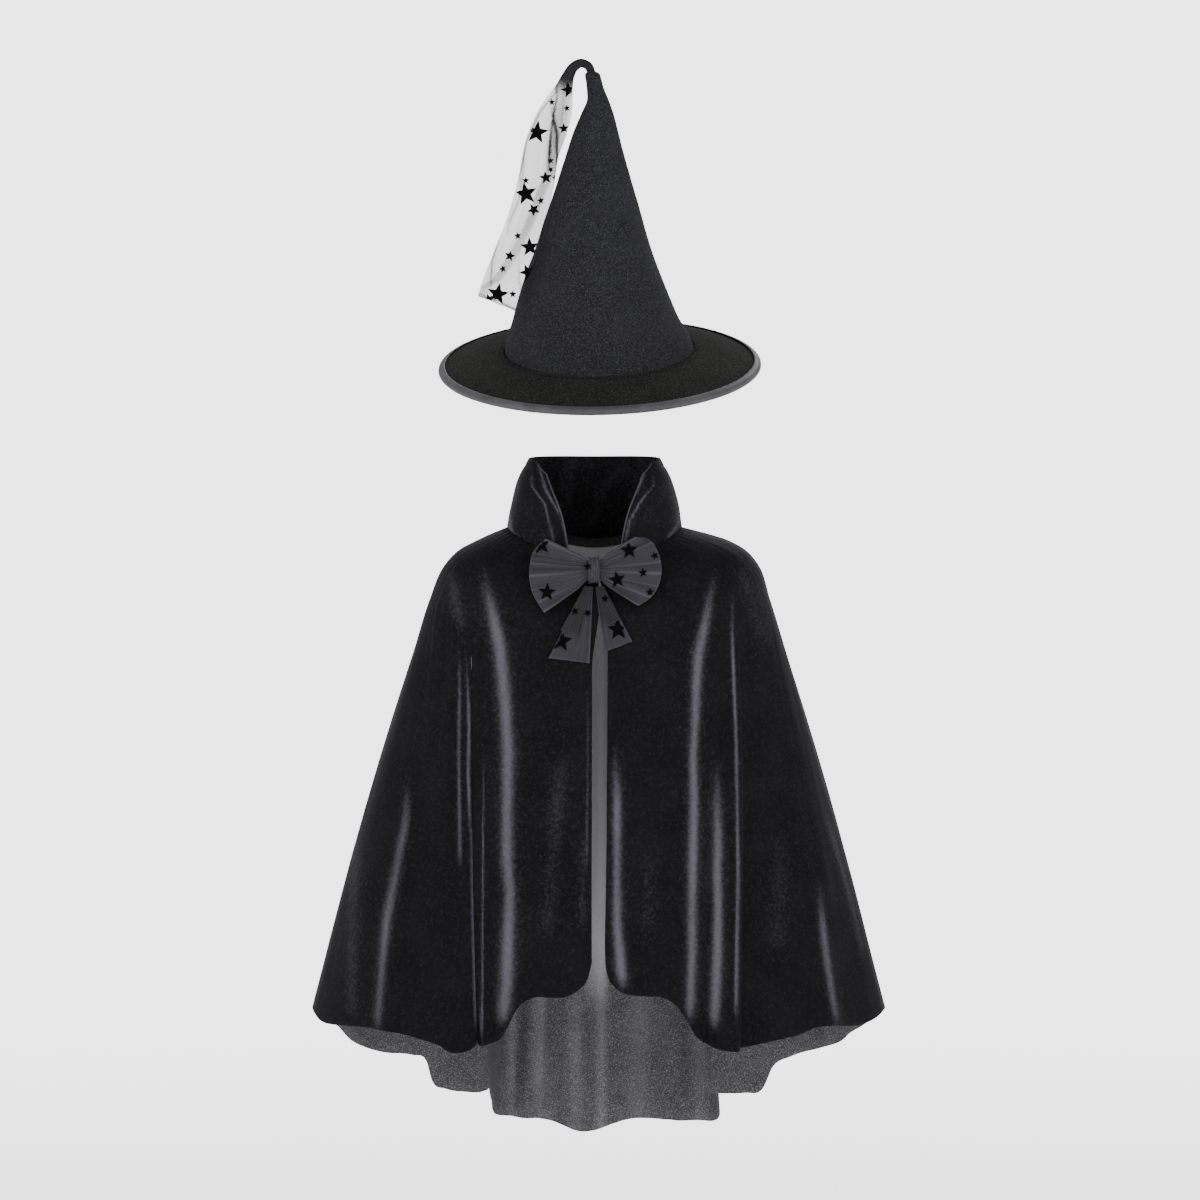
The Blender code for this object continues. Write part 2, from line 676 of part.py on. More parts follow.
def make_trail():
    rows = table(TRAIL)
    knots = chord_knots([Vector(row[:3]) for row in rows])
    grid = []
    for i in range(TRAIL_COLUMNS + 1):
        q = i / TRAIL_COLUMNS
        grid.append([trail_point(rows, knots, t, q) for t in knots])
    sheet("hat_trail", grid, "tulle", TULLE_WALL)


def build():
    clear_scene()
    collection = bpy.data.collections.new("witch_costume")
    bpy.context.scene.collection.children.link(collection)
    make_cape()
    make_collar()
    make_neck_tape()
    make_bow()
    make_hat()
    make_trail()


build()
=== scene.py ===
"""The looks of a child's witch costume: a velvet cape with a tulle bow and a felt hat with a tulle trail.

Sizes in the tables are in millimetres, in the costume's own frame: +Z up, the cape's front faces -Y, the
origin is the middle of the neckline. Places named as seen are pixels of a square view of 1200 pixels.
"""

import math

import bpy
from mathutils import Matrix, Vector, noise
from mathutils.bvhtree import BVHTree


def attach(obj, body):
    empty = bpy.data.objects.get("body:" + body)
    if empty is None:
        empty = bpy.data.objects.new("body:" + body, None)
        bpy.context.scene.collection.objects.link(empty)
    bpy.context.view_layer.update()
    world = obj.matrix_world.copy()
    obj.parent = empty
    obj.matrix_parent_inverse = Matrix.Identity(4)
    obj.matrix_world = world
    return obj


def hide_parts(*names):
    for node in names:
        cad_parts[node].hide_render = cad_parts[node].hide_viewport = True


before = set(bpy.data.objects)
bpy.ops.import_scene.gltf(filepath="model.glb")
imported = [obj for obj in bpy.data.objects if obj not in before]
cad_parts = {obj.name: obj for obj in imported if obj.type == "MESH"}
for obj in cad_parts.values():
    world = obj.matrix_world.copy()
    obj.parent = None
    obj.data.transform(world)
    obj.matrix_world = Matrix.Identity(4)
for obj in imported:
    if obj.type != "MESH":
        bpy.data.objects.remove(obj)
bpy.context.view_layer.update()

MM = 0.001
VELVET_WALL = 1.6

# Rings of the cape's yoke, neck to upper arm: the side, the front and the back each have their own height.
RING_ROUNDNESS = 2.3
YOKE = (
    # centre_x, half_width, z_side, y_front, z_front, y_back, z_back
    (0.0, 80.0, 16.0, 62.0, -16.0, 58.0, -2.0),
    (5.0, 104.0, 8.4, 71.0, -32.0, 69.0, -12.0),
    (7.5, 120.0, 2.0, 77.0, -44.0, 77.0, -23.0),
    (7.0, 134.0, -6.0, 83.0, -57.0, 84.0, -37.0),
    (6.5, 145.0, -18.0, 89.0, -72.0, 91.0, -54.0),
    (4.7, 158.0, -51.5, 95.0, -100.0, 98.0, -85.0),
)
# How far the opening's edges close towards each other at each yoke ring, under the bow.
PINCH = (0.70, 0.66, 0.60, 0.48, 0.25, 0.0)
PINCH_ANGLE = 20.0

# The smooth ring at the hem, from which the folds depart: size at a height, and how it grows below.
HEM_LEVEL = -430.0
HEM_CENTRE = 3.5
HEM_HALF_WIDTH, HEM_FRONT, HEM_BACK = 267.0, 148.0, 165.0
FLARE_SIDE, FLARE_FRONT, FLARE_BACK = 0.27, 0.15, 0.14
HEM_ROUNDNESS = 2.1
SIDE_BOW = 4.0
LOWER_ROWS = (0.12, 0.27, 0.44, 0.62, 0.81, 1.0)

# A row is one crest, trough or turn of the cloth: the angle round the arm ring that it hangs from, where
# the hem lies under it, and the height where its fold begins. The left front runs from the opening to the
# side seam.
LEFT_FRONT = (
    # hang, x, y, z, reach
    (-4.8, -3.9, -147.0, -374.0, -100.0),
    (-7.0, -7.5, -148.0, -389.0, -100.0),
    (-11.0, -14.0, -149.0, -397.0, -100.0),
    (-17.0, -25.0, -150.0, -403.5, -100.0),
    (-26.0, -40.0, -148.0, -405.0, -80.0),
    (-34.0, -55.5, -147.0, -405.0, -50.0),
    (-42.0, -69.0, -150.0, -412.0, -30.0),
    (-48.0, -80.0, -155.0, -430.0, -20.0),
    (-52.0, -88.0, -151.0, -443.0, -30.0),
    (-55.0, -97.0, -146.0, -448.0, -60.0),
    (-57.3, -104.0, -147.0, -450.0, -90.0),
    (-58.8, -107.8, -121.0, -446.0, -90.0),
    (-60.3, -112.0, -150.0, -452.0, -90.0),
    (-63.0, -121.0, -152.0, -455.0, -80.0),
    (-65.5, -131.0, -150.0, -456.0, -80.0),
    (-68.0, -143.0, -145.0, -450.0, -100.0),
    (-71.0, -161.0, -135.0, -445.0, -150.0),
    (-74.0, -183.0, -121.0, -441.0, -200.0),
    (-76.5, -197.0, -117.0, -439.5, -220.0),
    (-79.0, -208.0, -102.0, -438.8, -200.0),
    (-83.0, -232.0, -78.0, -439.6, -150.0),
    (-87.0, -253.6, -44.0, -440.4, -150.0),
    (-91.5, -263.0, -13.0, -433.0, -150.0),
    (-94.5, -263.5, -2.0, -434.0, -150.0),
    (-97.0, -262.0, 8.0, -438.0, -150.0),
)
RIGHT_FRONT = (
    # hang, x, y, z, reach
    (5.6, 10.8, -147.0, -374.0, -150.0),
    (8.0, 13.5, -149.0, -388.0, -150.0),
    (12.0, 19.0, -152.0, -395.0, -170.0),
    (16.0, 26.0, -154.0, -399.5, -180.0),
    (21.0, 35.0, -150.0, -402.5, -180.0),
    (28.0, 48.0, -146.0, -404.0, -150.0),
    (35.0, 62.4, -146.0, -405.0, -100.0),
    (42.0, 76.2, -149.0, -413.0, -30.0),
    (47.5, 86.0, -154.0, -427.0, -20.0),
    (51.5, 92.5, -158.0, -437.0, -20.0),
    (55.5, 103.0, -150.5, -447.0, -60.0),
    (58.5, 112.0, -157.0, -451.0, -190.0),
    (61.0, 122.0, -152.0, -454.0, -80.0),
    (63.2, 132.5, -150.0, -455.0, -40.0),
    (64.2, 134.0, -137.0, -453.0, -40.0),
    (67.0, 142.0, -134.0, -452.0, -50.0),
    (70.0, 153.0, -131.0, -450.0, -60.0),
    (73.0, 167.0, -126.0, -447.6, -80.0),
    (76.0, 189.0, -113.0, -444.0, -150.0),
    (78.5, 208.0, -98.0, -438.4, -300.0),
    (80.5, 222.0, -93.0, -438.0, -320.0),
    (82.5, 232.0, -79.0, -440.0, -300.0),
    (85.5, 247.0, -60.0, -441.3, -200.0),
    (89.0, 264.0, -32.0, -437.0, -150.0),
    (92.5, 270.5, -11.0, -432.5, -150.0),
    (94.8, 271.0, -1.0, -434.0, -150.0),
    (97.0, 269.5, 8.0, -438.0, -150.0),
)
# The back runs from the right side seam round to the left one. Its two deep folds turn inwards.
BACK = (
    # hang, x, y, z, reach
    (97.0, 269.5, 8.0, -438.0, -150.0),
    (98.4, 262.0, 25.0, -446.0, -150.0),
    (99.8, 252.0, 40.0, -456.0, -150.0),
    (102.0, 240.0, 55.0, -465.0, -150.0),
    (105.5, 231.0, 69.0, -475.0, -150.0),
    (109.5, 214.0, 86.0, -483.0, -150.0),
    (114.0, 186.0, 100.0, -493.0, -150.0),
    (118.0, 168.0, 104.0, -504.0, -150.0),
    (121.0, 158.0, 103.0, -525.0, -150.0),
    (126.0, 142.0, 101.0, -528.0, -130.0),
    (130.0, 124.0, 97.0, -528.0, -110.0),
    (133.5, 109.0, 92.5, -527.0, -100.0),
    (135.3, 111.5, 97.0, -527.0, -100.0),
    (137.0, 114.0, 114.0, -530.0, -100.0),
    (139.0, 116.5, 138.0, -543.0, -100.0),
    (141.0, 117.5, 159.0, -558.0, -90.0),
    (143.5, 114.0, 172.0, -564.0, -80.0),
    (147.0, 98.0, 177.0, -564.0, -80.0),
    (151.0, 81.5, 175.5, -564.4, -90.0),
    (155.0, 65.0, 181.0, -564.0, -100.0),
    (159.5, 49.0, 185.0, -563.5, -120.0),
    (164.5, 34.0, 180.0, -563.0, -150.0),
    (170.0, 17.0, 178.0, -568.0, -150.0),
    (176.0, -2.0, 181.0, -575.0, -150.0),
    (180.5, -15.0, 185.0, -576.0, -150.0),
    (185.0, -28.0, 184.0, -571.0, -120.0),
    (189.5, -42.0, 177.0, -564.5, -120.0),
    (194.0, -55.0, 183.0, -563.0, -100.0),
    (198.5, -68.0, 178.5, -562.5, -90.0),
    (203.0, -80.0, 182.0, -561.0, -80.0),
    (207.5, -91.0, 177.0, -559.5, -80.0),
    (210.0, -95.0, 166.0, -556.0, -90.0),
    (212.5, -98.0, 142.0, -540.0, -100.0),
    (215.0, -100.5, 117.0, -525.0, -100.0),
    (217.5, -103.5, 95.0, -525.0, -100.0),
    (220.0, -109.0, 90.0, -526.0, -100.0),
    (225.0, -123.0, 94.0, -526.0, -110.0),
    (230.0, -140.0, 99.0, -524.0, -130.0),
    (235.0, -153.5, 103.0, -517.0, -150.0),
    (238.0, -159.0, 104.0, -498.0, -150.0),
    (242.0, -173.0, 102.0, -492.0, -150.0),
    (247.0, -196.0, 94.0, -489.0, -150.0),
    (252.0, -215.0, 81.0, -482.5, -150.0),
    (256.5, -229.0, 64.0, -473.0, -150.0),
    (260.0, -240.0, 43.0, -458.0, -150.0),
    (261.7, -254.0, 25.0, -446.0, -150.0),
    (263.0, -262.0, 8.0, -438.0, -150.0),
)
FOLD_RISE = 1.15

# Rings of the stand collar, seam to top edge, and the angle where its front edge stops.
COLLAR = (
    # half_width, y_front, y_back, z_side, z_front, z_back, edge_angle
    (80.0, 62.0, 58.0, 17.3, -14.7, -0.7, 21.5),
    (77.8, 61.0, 57.5, 33.0, 8.0, 19.0, 24.5),
    (73.8, 59.5, 56.0, 49.5, 31.0, 38.5, 30.0),
    (68.2, 57.0, 53.0, 65.5, 54.0, 58.5, 40.5),
    (61.0, 53.0, 49.0, 79.5, 76.0, 78.0, 52.0),
)
COLLAR_CORNER_LENGTH, COLLAR_CORNER_DROP = 14.0, 0.12
TAPE_INSET, TAPE_TOP, TAPE_BOTTOM = 2.6, 2.5, -6.0
TAPE_START = 26.0

# The bow: each loop fans out from the knot, its outer edge given by direction, reach and depth from top to
# bottom.
KNOT = (-0.5, -75.2, -17.0)
KNOT_RADIUS_Y, KNOT_RADIUS_Z, KNOT_LENGTH = 6.5, 11.5, 10.0
LEFT_LOOP = (
    # angle above the horizontal, reach, y at the outer edge
    (25.5, 47.6, -69.0),
    (11.0, 56.0, -71.0),
    (4.0, 57.6, -73.0),
    (-3.0, 58.6, -76.0),
    (-12.8, 58.5, -81.0),
    (-23.0, 56.5, -87.0),
    (-34.0, 53.7, -92.0),
)
RIGHT_LOOP = (
    (31.6, 42.9, -69.0),
    (23.5, 55.0, -71.0),
    (11.6, 59.7, -73.0),
    (-1.0, 61.0, -76.0),
    (-10.6, 59.5, -81.0),
    (-21.6, 54.3, -86.0),
    (-31.0, 46.0, -90.0),
)
LOOP_HALF_DEPTH, LOOP_PLEATS, LOOP_PLEAT_DEPTH = 6.0, 4, 2.0
LOOP_THROAT_X, LOOP_THROAT_Y, LOOP_THROAT_Z = 1.5, 1.9, 8.0
LOOP_FAN_START = 0.3
LOOP_RESTS_BELOW, LOOP_CLEARANCE = -20.0, 2.2
# Each hanging end: its corners under the knot and at its foot, in x and z, how far it stands off the cape,
# and how many soft waves run down it.
HANGING = {
    # node: (top_left, top_right, foot_left, foot_right, stand_off, waves)
    "bow_tail_left": ((-9.0, -32.0), (-1.5, -32.5), (-42.5, -97.0), (-4.5, -101.5), 2.0, 3),
    "bow_tail_right": ((1.0, -32.5), (8.0, -32.0), (8.0, -92.0), (35.0, -81.5), 2.0, 2),
    "bow_drop_left": ((-9.5, -32.0), (-3.0, -32.5), (-31.0, -71.0), (-16.5, -76.0), 5.2, 1),
    "bow_drop_right": ((2.0, -32.5), (8.5, -32.0), (11.0, -68.0), (24.0, -61.0), 5.2, 1),
}
HANGING_WAVE = 1.1

# The hat, in its own frame: z is its axis, and 0 is the plane of the brim's edge.
HAT_CENTRE = (4.9, 0.0, 165.5)
HAT_TILT_FORWARD = 12.7
HAT_ROLL_LEFT = 1.25
BRIM_RADIUS = 149.0
BRIM_PROFILE = (
    # radius, height
    (88.7, 17.0),
    (103.0, 14.6),
    (117.0, 11.4),
    (132.0, 6.8),
    (146.8, 1.6),
)
BINDING_RADIUS, BINDING_HEIGHT = 147.2, 1.4
BINDING_HALF_WIDTH, BINDING_HALF_THICK = 5.0, 2.6
CROWN_BASE = 17.0
CROWN = (
    # height, radius, lean
    (0.0, 87.0, 0.0),
    (8.0, 85.2, -1.2),
    (24.0, 78.0, -3.2),
    (45.0, 71.0, -4.5),
    (70.0, 62.6, -4.7),
    (98.0, 52.6, -3.6),
    (127.0, 44.0, -3.0),
    (156.0, 35.0, -1.5),
    (185.0, 26.4, 0.0),
    (212.0, 18.8, 1.5),
    (228.0, 13.6, 3.0),
    (240.0, 9.2, 3.6),
    (252.0, 7.0, 1.4),
    (264.0, 6.2, -0.6),
)
CROWN_DEPTH = 1.04

# The tulle trail, gathered on the hat's tip and hanging at its left: the line of its middle, its width and
# depth, in the costume's frame.
TRAIL = (
    # x, y, z, width, depth
    (-2.6, -62.5, 441.2, 7.0, 6.0),
    (-6.0, -63.0, 448.5, 7.5, 6.5),
    (-12.5, -63.0, 451.0, 8.0, 7.0),
    (-19.0, -63.0, 447.5, 9.0, 7.5),
    (-24.0, -63.0, 439.5, 11.0, 8.0),
    (-28.0, -62.5, 428.0, 16.0, 9.0),
    (-34.0, -62.0, 411.0, 27.0, 11.0),
    (-41.5, -61.0, 391.0, 33.0, 13.0),
    (-48.5, -60.0, 369.0, 33.0, 14.0),
    (-54.0, -59.0, 342.0, 33.0, 15.0),
    (-62.0, -58.0, 310.0, 34.0, 16.0),
    (-72.0, -57.0, 278.0, 38.0, 17.0),
    (-80.0, -56.0, 254.0, 39.0, 17.0),
    (-90.0, -55.0, 229.0, 37.0, 16.0),
)
TRAIL_RUNS = 3


def clamp(value, low=0.0, high=1.0):
    return max(low, min(high, value))


def ease(value):
    t = clamp(value)
    return t * t * (3.0 - 2.0 * t)


def blend(low, high, share):
    return low + (high - low) * share


def spline(knots, rows, t):
    """Smooth values at t through rows, one at each knot, with knots any distance apart."""
    last = len(knots) - 1
    i = 0
    while i < last - 1 and t > knots[i + 1]:
        i += 1
    span = knots[i + 1] - knots[i]
    k = (t - knots[i]) / span

    def slope(n):
        before = (rows[n] - rows[n - 1]) / (knots[n] - knots[n - 1]) if n > 0 else None
        after = (rows[n + 1] - rows[n]) / (knots[n + 1] - knots[n]) if n < last else None
        if before is None:
            return after
        if after is None:
            return before
        reach_before = knots[n] - knots[n - 1]
        reach_after = knots[n + 1] - knots[n]
        return (before * reach_after + after * reach_before) / (reach_before + reach_after)

    k2 = k * k
    k3 = k2 * k
    start = rows[i] * (2 * k3 - 3 * k2 + 1) + rows[i + 1] * (3 * k2 - 2 * k3)
    return start + slope(i) * (k3 - 2 * k2 + k) * span + slope(i + 1) * (k3 - k2) * span


def chord_knots(points):
    knots = [0.0]
    for before, after in zip(points, points[1:]):
        knots.append(knots[-1] + max((after - before).length, 1e-6))
    return knots


def table(rows):
    return [Vector(row) for row in rows]


def ring_point(centre_x, half_width, y_front, y_back, z_side, z_front, z_back, angle, roundness):
    """A point on a ring at an angle from the front, positive to the right."""
    s = math.sin(math.radians(angle))
    c = math.cos(math.radians(angle))
    depth = y_front if c > 0 else y_back
    z_end = z_front if c > 0 else z_back
    r = (abs(s / half_width) ** roundness + abs(c / depth) ** roundness) ** (-1.0 / roundness)
    return Vector((centre_x + r * s, -r * c, z_side + (z_end - z_side) * c * c))


def yoke_point(row, hang):
    centre_x, half_width, z_side, y_front, z_front, y_back, z_back = YOKE[row]
    from_front = abs((hang + 180.0) % 360.0 - 180.0)
    pinch = PINCH[row] * (1.0 - ease(from_front / PINCH_ANGLE))
    angle = hang * (1.0 - pinch) if from_front < 90.0 else hang
    return ring_point(
        centre_x, half_width, y_front, y_back, z_side, z_front, z_back, angle, RING_ROUNDNESS
    )


def smooth_hem(x, y, z):
    """The point of the plain flared ring at height z in the direction of x, y."""
    drop = HEM_LEVEL - z
    angle = math.degrees(math.atan2(x - HEM_CENTRE, -y))
    return ring_point(
        HEM_CENTRE,
        HEM_HALF_WIDTH + FLARE_SIDE * drop,
        HEM_FRONT + FLARE_FRONT * drop,
        HEM_BACK + FLARE_BACK * drop,
        z,
        z,
        z,
        angle,
        HEM_ROUNDNESS,
    )


def cape_column(hang, x, y, z, reach):
    """The points down one column of the cape, neck to hem."""
    points = [yoke_point(row, hang) for row in range(len(YOKE))]
    top = points[-1]
    hem = smooth_hem(x, y, z)
    fold = Vector((x, y, z)) - hem
    for v in LOWER_ROWS:
        point = top.lerp(hem, v)
        outward = Vector((point.x - HEM_CENTRE, point.y, 0.0)).normalized()
        point += outward * SIDE_BOW * math.sin(math.pi * v)
        share = clamp((reach - point.z) / (reach - z)) ** FOLD_RISE
        points.append(point + fold * share)
    return points


def cape_surface(rows):
    """A function from column position and row position to a point of the cape's cloth."""
    rows = table(rows)
    knots = chord_knots([Vector((row[1], row[2], row[3] * 0.3)) for row in rows])

    def column_at(position):
        i = min(int(position), len(rows) - 2)
        t = knots[i] + (knots[i + 1] - knots[i]) * (position - i)
        return cape_column(*spline(knots, rows, t))

    return column_at


def subdivided(count, steps):
    """Positions along count rows with a number of steps between each two."""
    return [i + s / steps for i in range(count - 1) for s in range(steps)] + [count - 1.0]


def column_points(points, steps):
    knots = chord_knots(points)
    result = []
    for position in subdivided(len(points), steps):
        i = min(int(position), len(points) - 2)
        t = knots[i] + (knots[i + 1] - knots[i]) * (position - i)
        result.append(spline(knots, points, t))
    return result


def collar_ring(t):
    """The collar's ring at a height from 0, the seam, to 1, the top edge."""
    rows = table(COLLAR)
    knots = [i / (len(rows) - 1) for i in range(len(rows))]
    return spline(knots, rows, clamp(t))


def collar_point(across, t):
    """A point of the collar, across from the right front edge, 0, round the back to the left one, 1."""
    half_width, y_front, y_back, z_side, z_front, z_back, edge = collar_ring(t)
    angle = edge + (360.0 - 2 * edge) * across
    return ring_point(0.0, half_width, y_front, y_back, z_side, z_front, z_back, angle, RING_ROUNDNESS)


def collar_grid(columns, rows):
    grid = []
    for i in range(columns + 1):
        across = i / columns
        from_edge = min(across, 1.0 - across) * 340.0
        corner = COLLAR_CORNER_DROP * (1.0 - ease(from_edge / COLLAR_CORNER_LENGTH))
        grid.append([collar_point(across, (1.0 - corner) * j / rows) for j in range(rows + 1)])
    return grid


def cape_skin_y(x, z):
    """The y of the cape's front at x and z, on the yoke and just below it."""
    low, high = 0.0, len(YOKE) + 1.0
    rows = table(YOKE)
    below = rows[-1] + (Vector((HEM_CENTRE, HEM_HALF_WIDTH, HEM_LEVEL, HEM_FRONT, HEM_LEVEL, HEM_BACK,
                                HEM_LEVEL)) - rows[-1]) * 0.3
    rows.append(below)
    knots = list(range(len(rows)))
    for _ in range(24):
        middle = (low + high) / 2
        centre_x, half_width, z_side, y_front, z_front, _, _ = spline(knots, rows, min(middle, knots[-1]))
        side = clamp(abs((x - centre_x) / half_width), 0.0, 0.98)
        y = -y_front * (1.0 - side**RING_ROUNDNESS) ** (1.0 / RING_ROUNDNESS)
        r2 = (x - centre_x) ** 2 + y * y
        z_here = z_side + (z_front - z_side) * y * y / r2
        if z_here > z:
            low = middle
        else:
            high = middle
    return y


def loop_grid(side, outline, around, across):
    """One bow loop: out of the knot along the front, round its outer edge and back behind."""
    rows = table(outline)
    knots = [i / (len(rows) - 1) for i in range(len(rows))]
    knot = Vector(KNOT)
    grid = []
    for i in range(across + 1):
        q = i / across
        angle, reach, y_out = spline(knots, rows, q)
        throat = knot + Vector((side * LOOP_THROAT_X, 0.0, LOOP_THROAT_Z * (1.0 - 2.0 * q)))
        column = []
        for j in range(around + 1):
            s = j / around
            out = (1.0 - math.cos(2 * math.pi * s)) / 2
            fan = math.radians(angle) * (0.4 + 0.6 * ease(out / LOOP_FAN_START))
            point = throat + Vector((side * math.cos(fan), 0.0, math.sin(fan))) * reach * out
            point.y = knot.y + (y_out - knot.y) * ease(out)
            puff = math.sin(2 * math.pi * s)
            pleat = math.cos(2 * math.pi * LOOP_PLEATS * q) * LOOP_PLEAT_DEPTH * out
            throat_share = 1.0 - ease(out / 0.25)
            front = 1.0 if s < 0.5 else -1.0
            point.y -= LOOP_HALF_DEPTH * puff * (1.0 - throat_share)
            point.y -= front * LOOP_THROAT_Y * throat_share
            point.y -= pleat * (0.6 if s > 0.5 else 1.0)
            if point.z < LOOP_RESTS_BELOW:
                point.y = min(point.y, cape_skin_y(point.x, point.z) - LOOP_CLEARANCE)
            column.append(point)
        grid.append(column)
    return grid


def hanging_grid(node, across, down):
    top_left, top_right, foot_left, foot_right, stand_off, waves = HANGING[node]
    grid = []
    for i in range(across + 1):
        q = i / across
        column = []
        for j in range(down + 1):
            s = j / down
            x = blend(blend(top_left[0], top_right[0], q), blend(foot_left[0], foot_right[0], q), s)
            z = blend(blend(top_left[1], top_right[1], q), blend(foot_left[1], foot_right[1], q), s)
            wave = HANGING_WAVE * math.cos(2 * math.pi * waves * q) * s
            column.append(Vector((x, cape_skin_y(x, z) - VELVET_WALL / 2 - stand_off - wave, z)))
        grid.append(column)
    return grid


def hat_frame():
    turn = Matrix.Rotation(math.radians(-HAT_ROLL_LEFT), 4, "Y") @ Matrix.Rotation(
        math.radians(HAT_TILT_FORWARD), 4, "X"
    )
    return Matrix.Translation(Vector(HAT_CENTRE)) @ turn


def crown_ring(height, radius, lean, columns):
    depth = 1.0 + (CROWN_DEPTH - 1.0) * clamp(1.0 - height / 200.0)
    ring = []
    for i in range(columns):
        angle = 2 * math.pi * i / columns
        ring.append(Vector((
            lean + radius * math.sin(angle),
            -radius * depth * math.cos(angle),
            CROWN_BASE + height,
        )))
    return ring


def trail_point(rows, knots, t, q):
    """A point of the trail: t along it, and q across the strip, which is folded on itself in runs."""
    x, y, z, width, depth = spline(knots, rows, t)
    step = knots[-1] * 0.01
    low = spline(knots, rows, max(t - step, 0.0))
    high = spline(knots, rows, min(t + step, knots[-1]))
    tangent = Vector((high[0] - low[0], 0.0, high[2] - low[2])).normalized()
    side = Vector((-tangent.z, 0.0, tangent.x))
    across = -math.cos(math.pi * TRAIL_RUNS * q) / 2
    return Vector((x, y + depth * (0.5 - q), z)) + side * width * across


# The view: from a little above, far away.
VIEW_ELEVATION = 5.0
VIEW_DISTANCE = 10.0
VIEW_TARGET = (5.1, 0.0, -51.5)
VIEW_PIXELS = 1200
PIXEL_SIZE = 0.932
SENSOR = 36.0
BODY = "root"

# How finely the cloth is made: steps between the tables' rows, across and down.
CAPE_ACROSS, CAPE_DOWN = 5, 8
CLOTH_THICK = 1.3

# Painted highlight streaks on the velvet, where its folds catch the light, on the fronts: places seen,
# half width in pixels, strength.
FRONT_STREAKS = (
    (((483, 572), (491, 606), (500, 648), (505, 700), (508, 752), (507, 806), (507, 857), (510, 893),
      (508, 940), (507, 983), (503, 1016)), 6.5, 1.0),
    (((452, 580), (460, 622)), 8.0, 0.35),
    (((459, 640), (460, 680), (459, 753), (460, 860)), 1.8, 0.65),
    (((466, 653), (468, 683), (469, 727), (468, 773), (471, 840), (473, 923), (476, 1023)), 1.4, 0.85),
    (((484, 753), (483, 873), (482, 1033)), 1.0, 0.7),
    (((408, 782), (406, 823), (400, 850), (395, 880), (387, 920), (382, 973), (378, 1022)), 4.6, 0.8),
    (((362, 800), (355, 850), (353, 910), (352, 1012)), 8.0, 0.32),
    (((563, 745), (558, 800), (552, 870), (547, 930)), 9.0, 0.26),
    (((583, 840), (583, 925)), 5.0, 0.26),
    (((588, 690), (588, 760), (587, 860)), 1.4, 0.4),
    (((713, 578), (708, 607), (703, 632), (698, 657), (696, 690), (695, 723), (693, 757), (694, 807),
      (693, 857), (692, 907), (692, 957), (690, 1012)), 4.8, 1.0),
    (((717, 766), (717, 807), (718, 840), (717, 873), (718, 907), (717, 957), (714, 1020)), 5.0, 0.95),
    (((732, 600), (732, 640), (734, 690), (736, 740), (737, 807), (738, 873), (737, 940), (736, 1010)), 1.6,
     0.9),
    (((615, 750), (617, 790), (617, 827), (617, 873), (617, 923), (622, 980)), 4.6, 0.95),
    (((820, 896), (823, 933), (827, 963), (832, 997), (836, 1020)), 3.6, 0.8),
    (((822, 800), (832, 836), (843, 873), (853, 912), (862, 950)), 4.0, 0.35),
    (((650, 850), (648, 930)), 8.0, 0.22),
    (((781, 830), (777, 945)), 12.0, 0.2),
    (((742, 570), (751, 600), (765, 640)), 10.0, 0.25),
)
# Painted highlight streaks on the back: the column's hang angle, half width in degrees, top and bottom
# height, strength.
BACK_STREAKS = (
    (104.0, 0.8, -120.0, -470.0, 0.6),
    (113.0, 0.9, -60.0, -490.0, 0.8),
    (121.0, 0.7, -220.0, -520.0, 0.5),
    (133.0, 0.5, -90.0, -520.0, 0.9),
    (142.5, 0.9, -50.0, -560.0, 1.0),
    (153.0, 0.8, -280.0, -560.0, 0.5),
    (160.0, 1.1, -70.0, -560.0, 0.85),
    (170.0, 1.6, -330.0, -565.0, 0.3),
    (180.5, 1.0, -110.0, -570.0, 0.9),
    (195.0, 0.8, -240.0, -560.0, 0.6),
    (207.0, 0.9, -60.0, -555.0, 1.0),
    (218.5, 0.5, -120.0, -520.0, 0.85),
    (229.0, 0.9, -300.0, -520.0, 0.45),
    (238.0, 0.8, -80.0, -490.0, 0.8),
    (249.0, 1.0, -180.0, -480.0, 0.55),
    (258.0, 0.9, -90.0, -455.0, 0.7),
)
# Painted light bands on the back's wrong side, where its folds catch the light, as seen below the front
# hem:
# place across, half width, strength.
WRONG_BANDS = ((512, 5.0, 0.5), (541, 8.0, 0.7), (575, 7.0, 0.6), (601, 5.0, 0.7), (638, 10.0, 0.5),
               (700, 8.0, 0.5))
# Painted highlight streaks on the collar's front edges: places seen, half width in pixels, strength.
COLLAR_STREAKS = (
    (((532, 486), (545, 504), (550, 524), (553, 540)), 1.1, 0.75),
    (((653, 486), (640, 502), (630, 520), (626, 540)), 1.1, 0.75),
    (((538, 462), (546, 490), (558, 511), (565, 530), (567, 545)), 1.0, 0.8),
    (((648, 462), (637, 490), (624, 512), (616, 530), (613, 545)), 1.0, 0.8),
    (((510, 528), (519, 541), (530, 556)), 2.4, 0.7),
    (((678, 524), (668, 538), (656, 552)), 2.4, 0.7),
    (((520, 470), (512, 515)), 5.0, 0.2),
    (((668, 470), (676, 512)), 5.0, 0.2),
)

